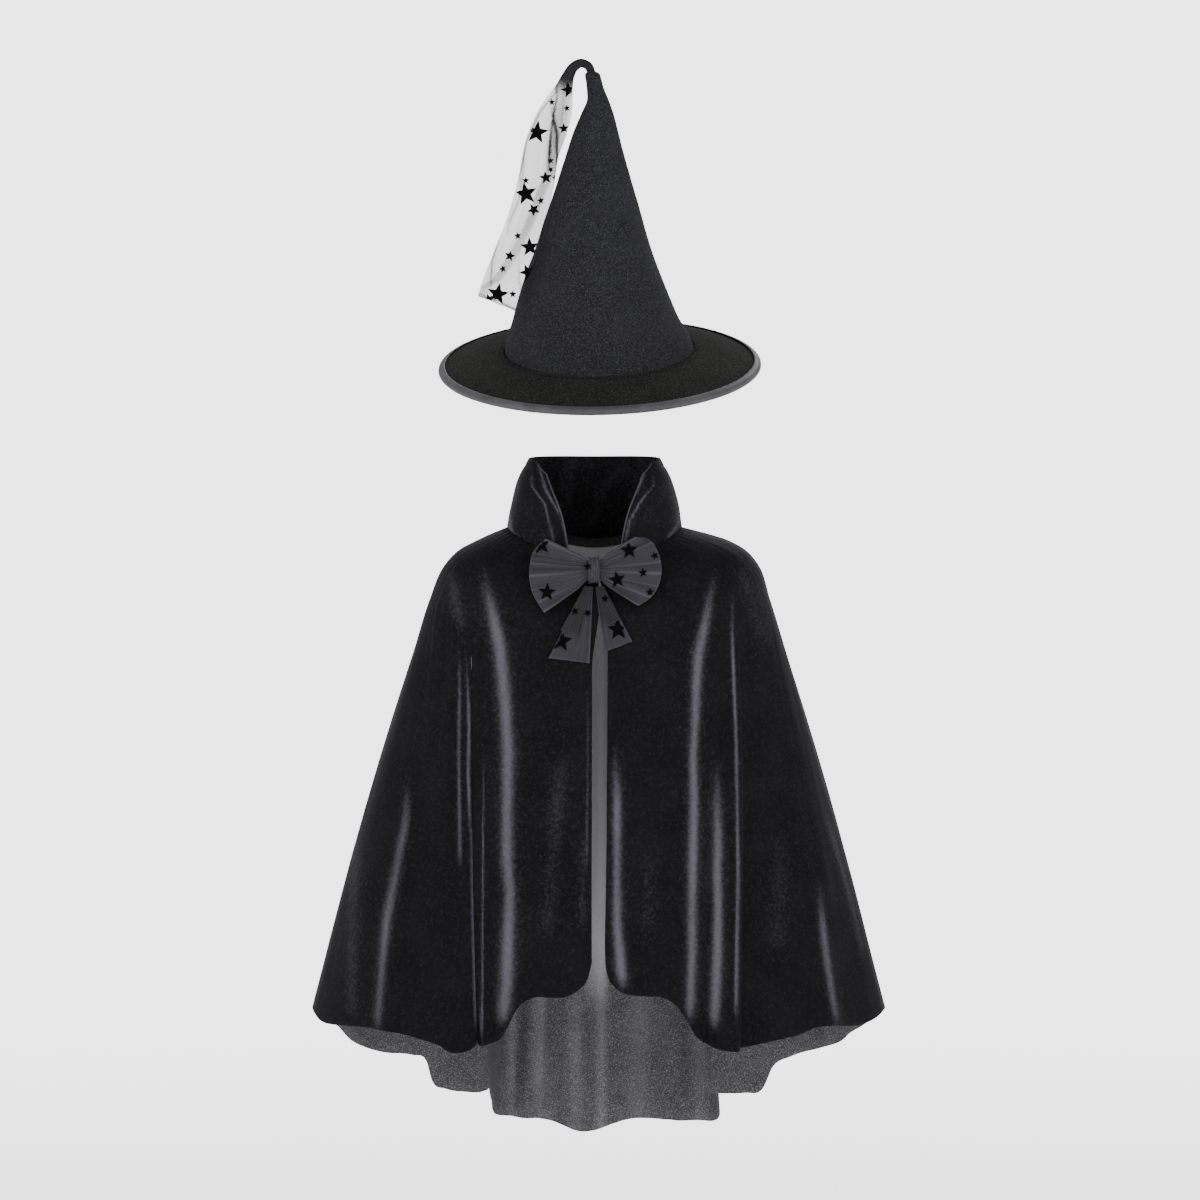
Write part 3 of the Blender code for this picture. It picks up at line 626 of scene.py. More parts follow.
# Stars as seen: place, radius in mm, turn in degrees, and which layer of tulle from the front carries them.
BOW_STARS = (
    (541, 546, 9.5, 6, 0), (547, 592, 8.6, -4, 0), (629, 551, 8.6, 4, 0), (617, 580, 8.2, 10, 0),
    (551, 562, 5.0, 20, 1), (565, 572, 8.0, -12, 1), (588, 567, 4.2, 10, 0), (616, 565, 4.2, 30, 1),
    (643, 573, 4.6, 8, 0), (655, 557, 4.0, 24, 0), (650, 592, 4.4, 2, 0), (627, 602, 3.6, 16, 0),
    (575, 611, 4.0, 12, 0), (588, 613, 3.8, 30, 0), (605, 599, 3.8, 0, 0),
)
TAIL_STARS = ((561, 640, 11.0, -6, 0), (618, 629, 10.5, 4, 0))
TRAIL_STARS = (
    (569, 92, 8.0, 12, 0), (537, 134, 11.4, -8, 0), (526, 195, 11.4, 10, 0), (530, 248, 9.6, 4, 0),
    (528, 273, 8.4, 22, 0), (498, 295, 10.8, -10, 0), (546, 179, 6.6, 8, 0), (534, 211, 6.6, 30, 0),
    (510, 257, 5.6, -14, 0), (489, 300, 5.6, 16, 0), (564, 130, 5.6, 4, 0), (552, 104, 3.6, 0, 0),
    (567, 110, 3.8, 12, 0), (551, 162, 3.4, 6, 0), (551, 171, 3.2, 26, 0), (555, 179, 3.0, 14, 0),
    (526, 182, 3.8, 2, 0), (541, 202, 3.8, 10, 0), (505, 221, 4.4, 22, 0), (518, 237, 3.8, 8, 0),
    (503, 270, 3.8, 18, 0), (513, 295, 3.8, 0, 0),
)
# Where the trail's tulle lies on itself, as seen: places, half width in pixels, how much denser.
TRAIL_LAYERS = (
    (((561, 84), (560, 100), (557, 125), (552, 150), (550, 173), (541, 192), (535, 210), (526, 230),
      (516, 250), (506, 267), (496, 280), (484, 288)), 5.5, 0.34),
    (((566, 92), (564, 125), (561, 150), (558, 172)), 4.0, 0.2),
    (((557, 96), (551, 128), (549, 160)), 1.1, 0.45),
    (((552, 112), (557, 135), (557, 172)), 1.1, 0.45),
    (((524, 165), (519, 200), (508, 225)), 1.0, 0.3),
    (((519, 280), (524, 300)), 1.1, 0.4),
    (((556, 92), (540, 112), (527, 140), (520, 175)), 1.0, 0.4),
    (((500, 235), (492, 262), (491, 280)), 1.0, 0.4),
    (((563, 180), (552, 215), (540, 250), (533, 285)), 1.0, 0.3),
)


def rgba(value):
    return (value[0], value[1], value[2], 1.0)


def new_material(name):
    material = bpy.data.materials.new(name)
    material.use_nodes = True
    tree = material.node_tree
    return material, tree, tree.nodes["Principled BSDF"]


def add_noise(tree, scale, detail, roughness=0.5):
    coords = tree.nodes.new("ShaderNodeTexCoord")
    texture = tree.nodes.new("ShaderNodeTexNoise")
    texture.inputs["Scale"].default_value = scale
    texture.inputs["Detail"].default_value = detail
    texture.inputs["Roughness"].default_value = roughness
    tree.links.new(coords.outputs["Object"], texture.inputs["Vector"])
    return texture.outputs["Fac"]


def calc(tree, operation, first, second=None):
    """A Math node on outputs or numbers."""
    node = tree.nodes.new("ShaderNodeMath")
    node.operation = operation
    for socket, value in zip(node.inputs, (first, second)):
        if value is None:
            continue
        if isinstance(value, (int, float)):
            socket.default_value = value
        else:
            tree.links.new(value, socket)
    return node.outputs[0]


def remap(tree, value, low, high, to_low=0.0, to_high=1.0):
    node = tree.nodes.new("ShaderNodeMapRange")
    node.interpolation_type = "SMOOTHSTEP"
    for name, number in (("From Min", low), ("From Max", high), ("To Min", to_low), ("To Max", to_high)):
        node.inputs[name].default_value = number
    tree.links.new(value, node.inputs["Value"])
    return node.outputs["Result"]


def mix_colour(tree, share, first, second):
    node = tree.nodes.new("ShaderNodeMix")
    node.data_type = "RGBA"
    tree.links.new(share, node.inputs["Factor"])
    for socket, value in ((node.inputs[6], first), (node.inputs[7], second)):
        if isinstance(value, tuple):
            socket.default_value = rgba(value)
        else:
            tree.links.new(value, socket)
    return node.outputs[2]


def add_bump(tree, shader, height, strength, distance):
    bump = tree.nodes.new("ShaderNodeBump")
    bump.inputs["Strength"].default_value = strength
    bump.inputs["Distance"].default_value = distance
    tree.links.new(height, bump.inputs["Height"])
    tree.links.new(bump.outputs["Normal"], shader.inputs["Normal"])


def attribute(tree, name):
    node = tree.nodes.new("ShaderNodeAttribute")
    node.attribute_name = name
    return node.outputs["Fac"]


def velvet_material():
    """Short black pile, grainy and mottled, with painted highlight streaks where the attribute says."""
    material, tree, shader = new_material("velvet")
    grain = add_noise(tree, 1150.0, 2.0, 0.6)
    clump = add_noise(tree, 330.0, 2.0)
    cloud = add_noise(tree, 26.0, 3.0)
    painted_light_and_tone = attribute(tree, "painted_light_and_tone")
    rough = calc(tree, "ADD", calc(tree, "MULTIPLY", grain, 0.75),
                 calc(tree, "MULTIPLY", clump, 0.55))
    # painted highlight: the streak attribute, roughened by the grain, picks where the velvet takes its
    # highlight colour
    laid = calc(tree, "ADD", painted_light_and_tone, calc(tree, "SUBTRACT", calc(tree, "MULTIPLY", rough, 0.7), 0.455))
    painted_highlight_mask = remap(tree, laid, 0.04, 1.15)
    dark = mix_colour(tree, remap(tree, cloud, 0.35, 0.68), VELVET_DARK, VELVET_MIDDLE)
    speck = mix_colour(tree, remap(tree, rough, 0.62, 0.9, 0.0, 0.55), dark, VELVET_SPECK)
    tree.links.new(mix_colour(tree, painted_highlight_mask, speck, VELVET_PAINTED_HIGHLIGHT), shader.inputs["Base Color"])
    shader.inputs["Roughness"].default_value = 0.82
    shader.inputs["Specular IOR Level"].default_value = 0.08
    shader.inputs["Sheen Weight"].default_value = 0.07
    shader.inputs["Sheen Roughness"].default_value = 0.32
    shader.inputs["Sheen Tint"].default_value = (0.62, 0.6, 0.7, 1.0)
    add_bump(tree, shader, rough, 0.35, 0.0006)
    return material


def wrong_side_material():
    """The velvet's knitted back: grey, with pale loops, and painted light where the attribute lit is high.
    """
    material, tree, shader = new_material("velvet_wrong_side")
    grain = add_noise(tree, 1250.0, 1.0, 0.5)
    clump = add_noise(tree, 45.0, 2.0)
    lit = attribute(tree, "lit")
    base = mix_colour(tree, remap(tree, clump, 0.3, 0.7), WRONG_DARK, WRONG_MIDDLE)
    # painted light: where lit is high, more pale loops show and the grey turns to its palest colour
    height = calc(tree, "ADD", grain, calc(tree, "MULTIPLY", lit, 0.16))
    loops = mix_colour(tree, remap(tree, height, 0.46, 0.74, 0.0, 0.36), base, WRONG_LOOPS_AND_PAINTED_LIGHT)
    share = calc(tree, "MULTIPLY", lit, 0.85)
    tree.links.new(mix_colour(tree, share, loops, WRONG_LOOPS_AND_PAINTED_LIGHT), shader.inputs["Base Color"])
    shader.inputs["Roughness"].default_value = 0.9
    shader.inputs["Specular IOR Level"].default_value = 0.2
    add_bump(tree, shader, grain, 0.4, 0.0005)
    return material


def felt_material(name, dark, light, speckle):
    """Needled fibre: mottled, with pale fibres in all directions."""
    material, tree, shader = new_material(name)
    fibre = add_noise(tree, 1000.0, 3.0, 0.7)
    tuft = add_noise(tree, 230.0, 3.0, 0.6)
    cloud = add_noise(tree, 30.0, 3.0)
    mixed = calc(tree, "ADD", calc(tree, "MULTIPLY", tuft, 0.6),
                 calc(tree, "MULTIPLY", cloud, 0.4))
    base = mix_colour(tree, remap(tree, mixed, 0.36, 0.64), dark, light)
    pale = mix_colour(tree, remap(tree, fibre, 0.47, 0.74, 0.0, 0.85), base, speckle)
    tree.links.new(pale, shader.inputs["Base Color"])
    shader.inputs["Roughness"].default_value = 0.95
    shader.inputs["Specular IOR Level"].default_value = 0.03
    shader.inputs["Sheen Weight"].default_value = 0.015
    shader.inputs["Sheen Roughness"].default_value = 0.5
    add_bump(tree, shader, calc(tree, "ADD", fibre, tuft), 0.5, 0.0009)
    return material


def satin_material():
    material, tree, shader = new_material("satin")
    slub = add_noise(tree, 260.0, 2.0)
    cloud = add_noise(tree, 40.0, 2.0)
    base = mix_colour(tree, remap(tree, cloud, 0.3, 0.7), (0.03, 0.029, 0.035), (0.05, 0.048, 0.058))
    tree.links.new(base, shader.inputs["Base Color"])
    shader.inputs["Roughness"].default_value = 0.58
    shader.inputs["Specular IOR Level"].default_value = 0.3
    add_bump(tree, shader, slub, 0.15, 0.0003)
    return material


def plain_cloth(name, colour, roughness=0.9, scale=700.0, specular=0.25, paler=0.004):
    material, tree, shader = new_material(name)
    grain = add_noise(tree, scale, 2.0)
    lighter = tuple(min(1.0, c * 1.7 + paler) for c in colour)
    tree.links.new(mix_colour(tree, remap(tree, grain, 0.4, 0.7), colour, lighter),
              shader.inputs["Base Color"])
    shader.inputs["Roughness"].default_value = roughness
    shader.inputs["Specular IOR Level"].default_value = specular
    add_bump(tree, shader, grain, 0.3, 0.0003)
    return material


def tulle_material(name, colour, light, open_alpha, thread_alpha, mesh_size):
    """A net of six-sided holes: threads nearly solid, holes nearly clear."""
    material, tree, shader = new_material(name)
    uv = tree.nodes.new("ShaderNodeUVMap")
    uv.uv_map = "cloth"
    cells = tree.nodes.new("ShaderNodeTexVoronoi")
    cells.voronoi_dimensions = "2D"
    cells.feature = "DISTANCE_TO_EDGE"
    cells.inputs["Scale"].default_value = 1.0 / mesh_size
    cells.inputs["Randomness"].default_value = 0.35
    tree.links.new(uv.outputs["UV"], cells.inputs["Vector"])
    thread = remap(tree, cells.outputs["Distance"], 0.05, 0.16, 1.0, 0.0)
    painted_light_and_tone = attribute(tree, "painted_light_and_tone")
    alpha = calc(tree, "ADD", calc(tree, "MULTIPLY", thread, thread_alpha - open_alpha), open_alpha)
    alpha = calc(tree, "ADD", alpha, attribute(tree, "dense"))
    tree.links.new(calc(tree, "MINIMUM", alpha, 1.0), shader.inputs["Alpha"])
    # painted highlight: the tulle turns to its lighter colour where the attribute says, on folds, edges and
    # gather crests
    tree.links.new(mix_colour(tree, painted_light_and_tone, colour, light), shader.inputs["Base Color"])
    shader.inputs["Roughness"].default_value = 0.75
    shader.inputs["Specular IOR Level"].default_value = 0.25
    return material


# Colours of the velvet and of its wrong side. The velvet's highlight colour is painted highlight, and the
# wrong side's palest grey is both its knit loops and painted light.
VELVET_DARK = (0.0019, 0.0019, 0.0024)
VELVET_MIDDLE = (0.0036, 0.0036, 0.0043)
VELVET_SPECK = (0.016, 0.0152, 0.018)
VELVET_PAINTED_HIGHLIGHT = (0.086, 0.082, 0.099)
WRONG_DARK = (0.027, 0.0265, 0.03)
WRONG_MIDDLE = (0.04, 0.039, 0.044)
WRONG_LOOPS_AND_PAINTED_LIGHT = (0.42, 0.415, 0.435)

MATERIALS = {
    "velvet": velvet_material(),
    "wrong_side": wrong_side_material(),
    "crown_felt": felt_material("crown_felt", (0.008, 0.008, 0.0096), (0.0125, 0.0125, 0.0146),
                                (0.056, 0.056, 0.062)),
    "brim_felt": felt_material("brim_felt", (0.0036, 0.0036, 0.0036), (0.0065, 0.0065, 0.0063),
                               (0.062, 0.062, 0.058)),
    "satin": satin_material(),
    "tape": plain_cloth("tape", (0.04, 0.041, 0.04)),
    "thread": plain_cloth("thread", (0.004, 0.004, 0.0045), 0.7, 1500.0, 0.1, 0.002),
    "pale_thread": plain_cloth("pale_thread", (0.05, 0.048, 0.056), 0.6, 1500.0),
    "star": plain_cloth("flocked_star", (0.0012, 0.0011, 0.0016), 0.95, 1600.0, 0.04, 0.001),
    "bow_tulle": tulle_material("bow_tulle", (0.0175, 0.0163, 0.0222), (0.056, 0.053, 0.067), 0.93, 1.0,
                                0.0009),
    # The drops' tulle is a darker copy of the bow's: painted shade of their tight gathers under the knot.
    "drop_tulle": tulle_material("drop_tulle", (0.0075, 0.0072, 0.009), (0.045, 0.043, 0.052), 0.93, 1.0,
                                 0.0009),
    "trail_tulle": tulle_material("trail_tulle", (0.006, 0.006, 0.007), (0.016, 0.016, 0.02), 0.12, 0.38,
                                  0.0011),
}


def view_pixel(point):
    """Where the view shows a point, in pixels."""
    tilt = math.radians(VIEW_ELEVATION)
    offset = point - Vector(VIEW_TARGET)
    up = offset.z * math.cos(tilt) + offset.y * math.sin(tilt)
    away = 1.0 + (offset.y * math.cos(tilt) - offset.z * math.sin(tilt)) * MM / VIEW_DISTANCE
    half = VIEW_PIXELS / 2
    return half + offset.x / PIXEL_SIZE / away, half - up / PIXEL_SIZE / away


def seen(px, py, y):
    """The point at depth y that the view shows at a pixel."""
    tilt = math.radians(VIEW_ELEVATION)
    half = VIEW_PIXELS / 2
    away = 1.0 + y * MM / VIEW_DISTANCE
    up = (half - py) * PIXEL_SIZE * away
    x = VIEW_TARGET[0] + (px - half) * PIXEL_SIZE * away
    return Vector((x, y, VIEW_TARGET[2] + (up - y * math.sin(tilt)) / math.cos(tilt)))


def streak_at(streaks, px, py, sharpness=2.0):
    """How strongly the streaks reach the place seen at px, py; on the velvet they are painted highlight."""
    total = 0.0
    for places, half_width, strength in streaks:
        top, bottom = places[0][1], places[-1][1]
        if not top - 30 < py < bottom + 20:
            continue
        reach = min(70.0, (bottom - top) * 0.3)
        row = 0
        while row < len(places) - 2 and py > places[row + 1][1]:
            row += 1
        (x0, y0), (x1, y1) = places[row], places[row + 1]
        share = clamp((py - y0) / (y1 - y0))
        centre = x0 + (x1 - x0) * share
        fade = ease((py - top + 30) / (30 + reach)) * ease((bottom + 20 - py) / 30)
        uneven = 0.85 + 0.3 * noise.noise(Vector((px * 0.02, py * 0.012, 3.0)))
        width = half_width * (0.95 + 0.22 * noise.noise(Vector((top * 0.37, py * 0.01, 8.0))))
        off = abs(px - centre) / max(width, 0.5)
        if off < 5.0:
            glow = 0.74 * math.exp(-off**sharpness) + 0.26 * math.exp(-off * off / 6.0)
            total += strength * fade * uneven * glow
    return min(total, 1.2)


def back_streak_at(hang, z):
    total = 0.0
    for centre, half_width, top, bottom, strength in BACK_STREAKS:
        fade = ease((top - z) / 90) * ease((z - bottom + 25) / 25)
        wander = 0.5 * noise.noise(Vector((centre, z * 0.008, 5.0)))
        width = half_width * BACK_WIDER * (0.75 + 0.5 * noise.noise(Vector((centre, z * 0.012, 1.0))))
        off = (hang - centre - wander) / width
        if fade > 0.0 and abs(off) < 3.0:
            uneven = 0.8 + 0.4 * noise.noise(Vector((hang * 0.3, z * 0.02, 2.0)))
            total += strength * fade * uneven * math.exp(-abs(off)**1.5)
    return min(total, 1.2)


def grid_normals(grid, flip=False):
    columns, rows = len(grid), len(grid[0])
    normals = []
    for i in range(columns):
        before = grid[max(i - 1, 0)]
        after = grid[min(i + 1, columns - 1)]
        line = []
        for j in range(rows):
            down = grid[i][min(j + 1, rows - 1)] - grid[i][max(j - 1, 0)]
            normal = down.cross(after[j] - before[j]).normalized()
            line.append(-normal if flip else normal)
        normals.append(line)
    return normals


def grid_object(name, grid, materials, closed=False, flip=False, values=None, thick=0.0, inner=0, rim=0):
    """A cloth surface on a grid of points, with its values as attributes and its own lengths as UVs."""
    columns, rows = len(grid), len(grid[0])
    verts = [point * MM for column in grid for point in column]
    faces = []
    for i in range(columns if closed else columns - 1):
        a, b = i * rows, (i + 1) % columns * rows
        for j in range(rows - 1):
            face = (a + j, a + j + 1, b + j + 1, b + j)
            faces.append(face[::-1] if flip else face)
    mesh = bpy.data.meshes.new(name)
    mesh.from_pydata(verts, [], faces)
    mesh.shade_smooth()
    for key, numbers in (values or {}).items():
        layer = mesh.attributes.new(key, "FLOAT", "POINT")
        layer.data.foreach_set("value", [number for column in numbers for number in column])
    add_uv(mesh, grid, closed)
    for key in materials:
        mesh.materials.append(MATERIALS[key])
    obj = bpy.data.objects.new(name, mesh)
    bpy.context.scene.collection.objects.link(obj)
    if thick:
        wall = obj.modifiers.new("Wall", "SOLIDIFY")
        wall.thickness = thick * MM
        wall.offset = 0.0
        wall.material_offset = inner
        wall.material_offset_rim = rim
    return obj


def add_uv(mesh, grid, closed):
    """UVs in metres of cloth, measured along the middle row and down each column."""
    columns, rows = len(grid), len(grid[0])
    middle = rows // 2
    across = [0.0]
    for i in range(1, columns + 1):
        across.append(across[-1] + (grid[i % columns][middle] - grid[i - 1][middle]).length * MM)
    down = []
    for column in grid:
        lengths = [0.0]
        for before, after in zip(column, column[1:]):
            lengths.append(lengths[-1] + (after - before).length * MM)
        down.append(lengths)
    layer = mesh.uv_layers.new(name="cloth")
    for face in mesh.polygons:
        corners = [mesh.loops[k].vertex_index for k in face.loop_indices]
        wraps = closed and max(corners) // rows - min(corners) // rows > 1
        for k, vertex in zip(face.loop_indices, corners):
            i, j = divmod(vertex, rows)
            u = across[columns] if wraps and i == 0 else across[i]
            layer.data[k].uv = (u, down[i][j])


def declare(obj, nodes=()):
    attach(obj, BODY)
    if nodes:
        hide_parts(*nodes)
    return obj


def strip_object(name, strips, material):
    """Many small closed tubes, each a list of rings, as one mesh."""
    verts, faces = [], []
    for rings in strips:
        start = len(verts)
        sides = len(rings[0])
        for ring in rings:
            verts.extend(point * MM for point in ring)
        for r in range(len(rings) - 1):
            for s in range(sides):
                a = start + r * sides + s
                b = start + r * sides + (s + 1) % sides
                faces.append((a, b, b + sides, a + sides))
        faces.append(tuple(range(start + sides - 1, start - 1, -1)))
        faces.append(tuple(range(start + (len(rings) - 1) * sides, start + len(rings) * sides)))
    mesh = bpy.data.meshes.new(name)
    mesh.from_pydata(verts, [], faces)
    mesh.shade_smooth()
    mesh.materials.append(MATERIALS[material])
    obj = bpy.data.objects.new(name, mesh)
    bpy.context.scene.collection.objects.link(obj)
    return declare(obj)


def tube_rings(points, radii, sides, outward=None):
    """Rings of a tube along points, flattened where outward is given."""
    rings = []
    for i, point in enumerate(points):
        along = (points[min(i + 1, len(points) - 1)] - points[max(i - 1, 0)]).normalized()
        out = (outward[i] if outward else Vector((0.0, -1.0, 0.0)))
        side = along.cross(out).normalized()
        up = side.cross(along).normalized()
        ring = []
        for s in range(sides):
            turn = 2 * math.pi * s / sides
            ring.append(point + (side * math.cos(turn) + up * math.sin(turn) * 0.7) * radii[i])
        rings.append(ring)
    return rings


def path_at(points, distance):
    """The point at a distance along a path."""
    for before, after in zip(points, points[1:]):
        step = (after - before).length
        if distance <= step and step > 0.0:
            return before.lerp(after, distance / step)
        distance -= step
    return points[-1]


def path_length(points):
    return sum((after - before).length for before, after in zip(points, points[1:]))


def stitch_strips(points, normals, pitch, length, radius):
    """Thread seen between the holes of a sewn line: short rounded runs, sunk at both ends."""
    strips = []
    total = path_length(points)
    count = int(total / pitch)
    step = len(points) / max(total, 1e-6)
    for k in range(count):
        start = (k + 0.5) * pitch
        index = min(int(start * step), len(normals) - 1)
        out = normals[index]
        run = []
        for share in (0.0, 0.2, 0.5, 0.8, 1.0):
            place = path_at(points, start + (share - 0.5) * length)
            run.append(place + out * radius * (2.0 * share * (1.0 - share) * 2.0 - 0.2))
        radii = [radius * r for r in (0.45, 0.9, 1.0, 0.9, 0.45)]
        strips.append(tube_rings(run, radii, 6, [out] * 5))
    return strips


def cape_relief(hang, point, from_neck, to_hem):
    """Small creases on the cape's folds: soft long ones, finer ones low down, puckers where it is sewn."""
    around = math.radians(hang % 360.0)
    ring = Vector((math.cos(around), math.sin(around), 0.0))
    low = clamp(from_neck / 200.0)
    long_fold = noise.noise(ring * 9.0 + Vector((0.0, 0.0, point.z * 0.0035))) * 1.6 * low
    fine_fold = noise.noise(ring * 34.0 + Vector((0.0, 0.0, 7.0 + point.z * 0.009))) * 0.55
    fine_fold *= clamp(from_neck / 90.0)
    pucker = math.sin(around * 95.0 + 3.0 * noise.noise(ring * 12.0)) * 0.45 * math.exp(-from_neck / 9.0)
    ripple = noise.noise(ring * 60.0 + Vector((0.0, 0.0, point.z * 0.03))) * 0.7 * math.exp(-to_hem / 16.0)
    return long_fold + fine_fold + pucker * clamp(from_neck / 2.0) + ripple


def turned_edge(line, before, normals, radius, depth):
    """Columns or rows that carry an edge round to the inside."""
    turned = []
    for angle, share in EDGE_STEPS:
        turn = math.radians(angle)
        back = depth * share
        row = []
        for point, inner, normal in zip(line, before, normals):
            out = (point - inner).normalized()
            inward = normal * radius * (1.0 - math.cos(turn))
            row.append(point + out * (radius * math.sin(turn) - back) - inward)
        turned.append(row)
    return turned


def cape_cloth(name, rows, flip, opening):
    """One panel with its creases, painted highlight and painted light, and on the fronts a turned hem."""
    column_at = cape_surface(rows)
    hang_rows = table(rows)
    grid, hangs = [], []
    for position in subdivided(len(rows), CAPE_ACROSS):
        i = min(int(position), len(rows) - 2)
        share = position - i
        hangs.append(hang_rows[i][0] + (hang_rows[i + 1][0] - hang_rows[i][0]) * share)
        points = column_points(column_at(position), CAPE_DOWN)
        near = hang_rows[max(i - 1, 0):i + 3]
        steps = [abs(b[0] - a[0]) for a, b in zip(near, near[1:])]
        if min(steps) < TIGHT_STEP and 0.0 < share < 1.0:
            before = column_points(column_at(float(i)), CAPE_DOWN)
            after = column_points(column_at(float(i + 1)), CAPE_DOWN)
            count = len(points) - 1
            points = [a.lerp(b, share).lerp(p, ease((j / count - 0.35) / 0.3))
                      for j, (a, b, p) in enumerate(zip(before, after, points))]
        grid.append(points)
    normals = grid_normals(grid, flip=flip)
    for i, column in enumerate(grid):
        run = [0.0]
        for before, after in zip(column, column[1:]):
            run.append(run[-1] + (after - before).length)
        for j, point in enumerate(column):
            column[j] = point + normals[i][j] * cape_relief(hangs[i], point, run[j], run[-1] - run[j])
    for ends, edge, inner in ((not opening, 0, 1), (True, -1, -2)):
        if ends:
            for a, b, normal in zip(grid[edge], grid[inner], normals[edge]):
                a += (a - b).normalized() * SEAM_LAP - normal * SEAM_LAP
    # painted highlight streaks for the velvet side and painted light for the wrong side, kept as two
    # attributes
    painted_light_and_tone, lit = [], []
    for i, column in enumerate(grid):
        painted_light_line, lit_line = [], []
        for point in column:
            px, py = view_pixel(point)
            if name == "back":
                # painted highlight streaks on the back's folds
                painted_light_line.append(back_streak_at(hangs[i], point.z))
                # painted light on the back's wrong side, where it lies in shade: bands on its folds, the
                # strip seen through the front opening and the V under the neck tape
                bright = sum(s * math.exp(-((px - c) / w) ** 2) for c, w, s in WRONG_BANDS) * 0.26
                slit = math.exp(-((px - 597.0) / 12.0) ** 6) * (1.0 - ease((py - 930.0) / 90.0))
                neck = 1.0 - ease((py - 560.0) / 60.0)
                bright *= 0.8 + 0.5 * noise.noise(point * 0.02)
                lit_line.append(clamp(bright + 0.75 * slit + 1.3 * neck))
            else:
                # painted highlight streaks on the fronts, and a little painted light over their wrong side
                painted_light_line.append(streak_at(FRONT_STREAKS, px, py))
                lit_line.append(0.1)
        painted_light_and_tone.append(painted_light_line)
        lit.append(lit_line)
    hem = []
    if name in HEM_TURN:
        hem = turned_edge([c[-1] for c in grid], [c[-2] for c in grid], [n[-1] for n in normals], HEM_ROLL,
                          HEM_TURN[name])
    for i, column in enumerate(grid):
        column.extend(row[i] for row in hem)
        # painted highlight on the turned hem: a weaker copy of the streak above it, over an even lift
        painted_light_and_tone[i].extend([painted_light_and_tone[i][-1] * 0.6 + 0.12] * (len(column) - len(painted_light_and_tone[i])))
        lit[i].extend([0.0] * (len(column) - len(lit[i])))
    if opening:
        edge_normals = grid_normals(grid[:2] + grid[2:3], flip=flip)[0]
        side = turned_edge(grid[0], grid[1], edge_normals, HEM_ROLL, OPENING_TURN)
        grid = side[::-1] + grid
        # a little painted highlight over the turned opening edge
        painted_light_and_tone = [[0.1] * len(grid[0])] * len(side) + painted_light_and_tone
        lit = [[0.0] * len(grid[0])] * len(side) + lit
    obj = grid_object(name + "_velvet", grid, ("velvet", "wrong_side"), flip=flip, thick=CLOTH_THICK,
                      inner=1, rim=int(name == "back"), values={"painted_light_and_tone": painted_light_and_tone, "lit": lit})
    declare(obj, (name,))
    return obj, grid, normals


# Columns whose hang angles lie closer than this are joined straight, so that the yoke doesn't fold back on
# itself.
TIGHT_STEP = 2.2
# How far the panels lap at their seams, and how much wider the back's streaks are than their table says.
SEAM_LAP = 0.35
BACK_WIDER = 1.7
# A turned edge, step by step: the angle turned, and the share of the turn's depth gone back.
EDGE_STEPS = ((60.0, 0.0), (120.0, 0.0), (180.0, 0.0), (180.0, 0.45), (180.0, 1.0))
HEM_ROLL, OPENING_TURN = 1.0, 4.0
HEM_STITCH_RISE = 2.6
HEM_TURN = {"front_left": 3.2, "front_right": 3.2}
STITCH_PITCH, STITCH_LENGTH, STITCH_RADIUS = 3.4, 2.5, 0.2


def make_cape():
    made = {}
    for name, rows, flip, opening in (
        ("front_left", LEFT_FRONT, True, True),
        ("front_right", RIGHT_FRONT, False, True),
        ("back", BACK, False, False),
    ):
        made[name] = cape_cloth(name, rows, flip, opening)
    sheets = {
        "front_left": ((0.36, 0.49), 0.138),
        "front_right": ((0.35, 0.49), 0.133),
        "back": ((0.78, 0.62), 0.312),
    }
    for name, (flat, area) in sheets.items():
        obj, grid, normals = made[name]
        first = 0 if name == "back" else len(EDGE_STEPS)
        hem_row = len(normals[0]) - 1
        line, outs = [], []
        for i in range(first, len(grid)):
            column = grid[i]
            normal = normals[i - first][hem_row]
            above = (column[hem_row - 1] - column[hem_row]).normalized()
            line.append(column[hem_row] + above * HEM_STITCH_RISE + normal * CLOTH_THICK * 0.5)
            outs.append(normal)
        thread = strip_object(name + "_hem_stitches",
                              stitch_strips(line, outs, STITCH_PITCH, STITCH_LENGTH, STITCH_RADIUS),
                              "thread")


def collar_cloth(columns, rows, offset):
    """The collar's middle surface moved out by an offset, with a soft roll inside its front edge."""
    grid = collar_grid(columns, rows)
    normals = grid_normals(grid, flip=True)
    result = []
    for i, column in enumerate(grid):
        across = i / columns
        from_edge = min(across, 1.0 - across) * 340.0
        line = []
        for j, point in enumerate(column):
            top = (1.0 - j / rows) * 78.0
            crease = noise.noise(point * 0.045) * 0.8 * clamp(j / rows * 4.0)
            groove = -0.7 * math.exp(-((from_edge - 13.0) / 1.6) ** 2)
            groove -= 0.5 * math.exp(-((top - 9.0) / 1.6) ** 2)
            pucker = 0.45 * math.sin(across * 260.0) * math.exp(-j / rows * 14.0)
            out = offset + crease + groove * (1.0 if offset > 0 else -0.3) + pucker
            line.append(point + normals[i][j] * out)
        result.append(line)
    return result


COLLAR_FINE_COLUMNS, COLLAR_FINE_ROWS = 150, 40


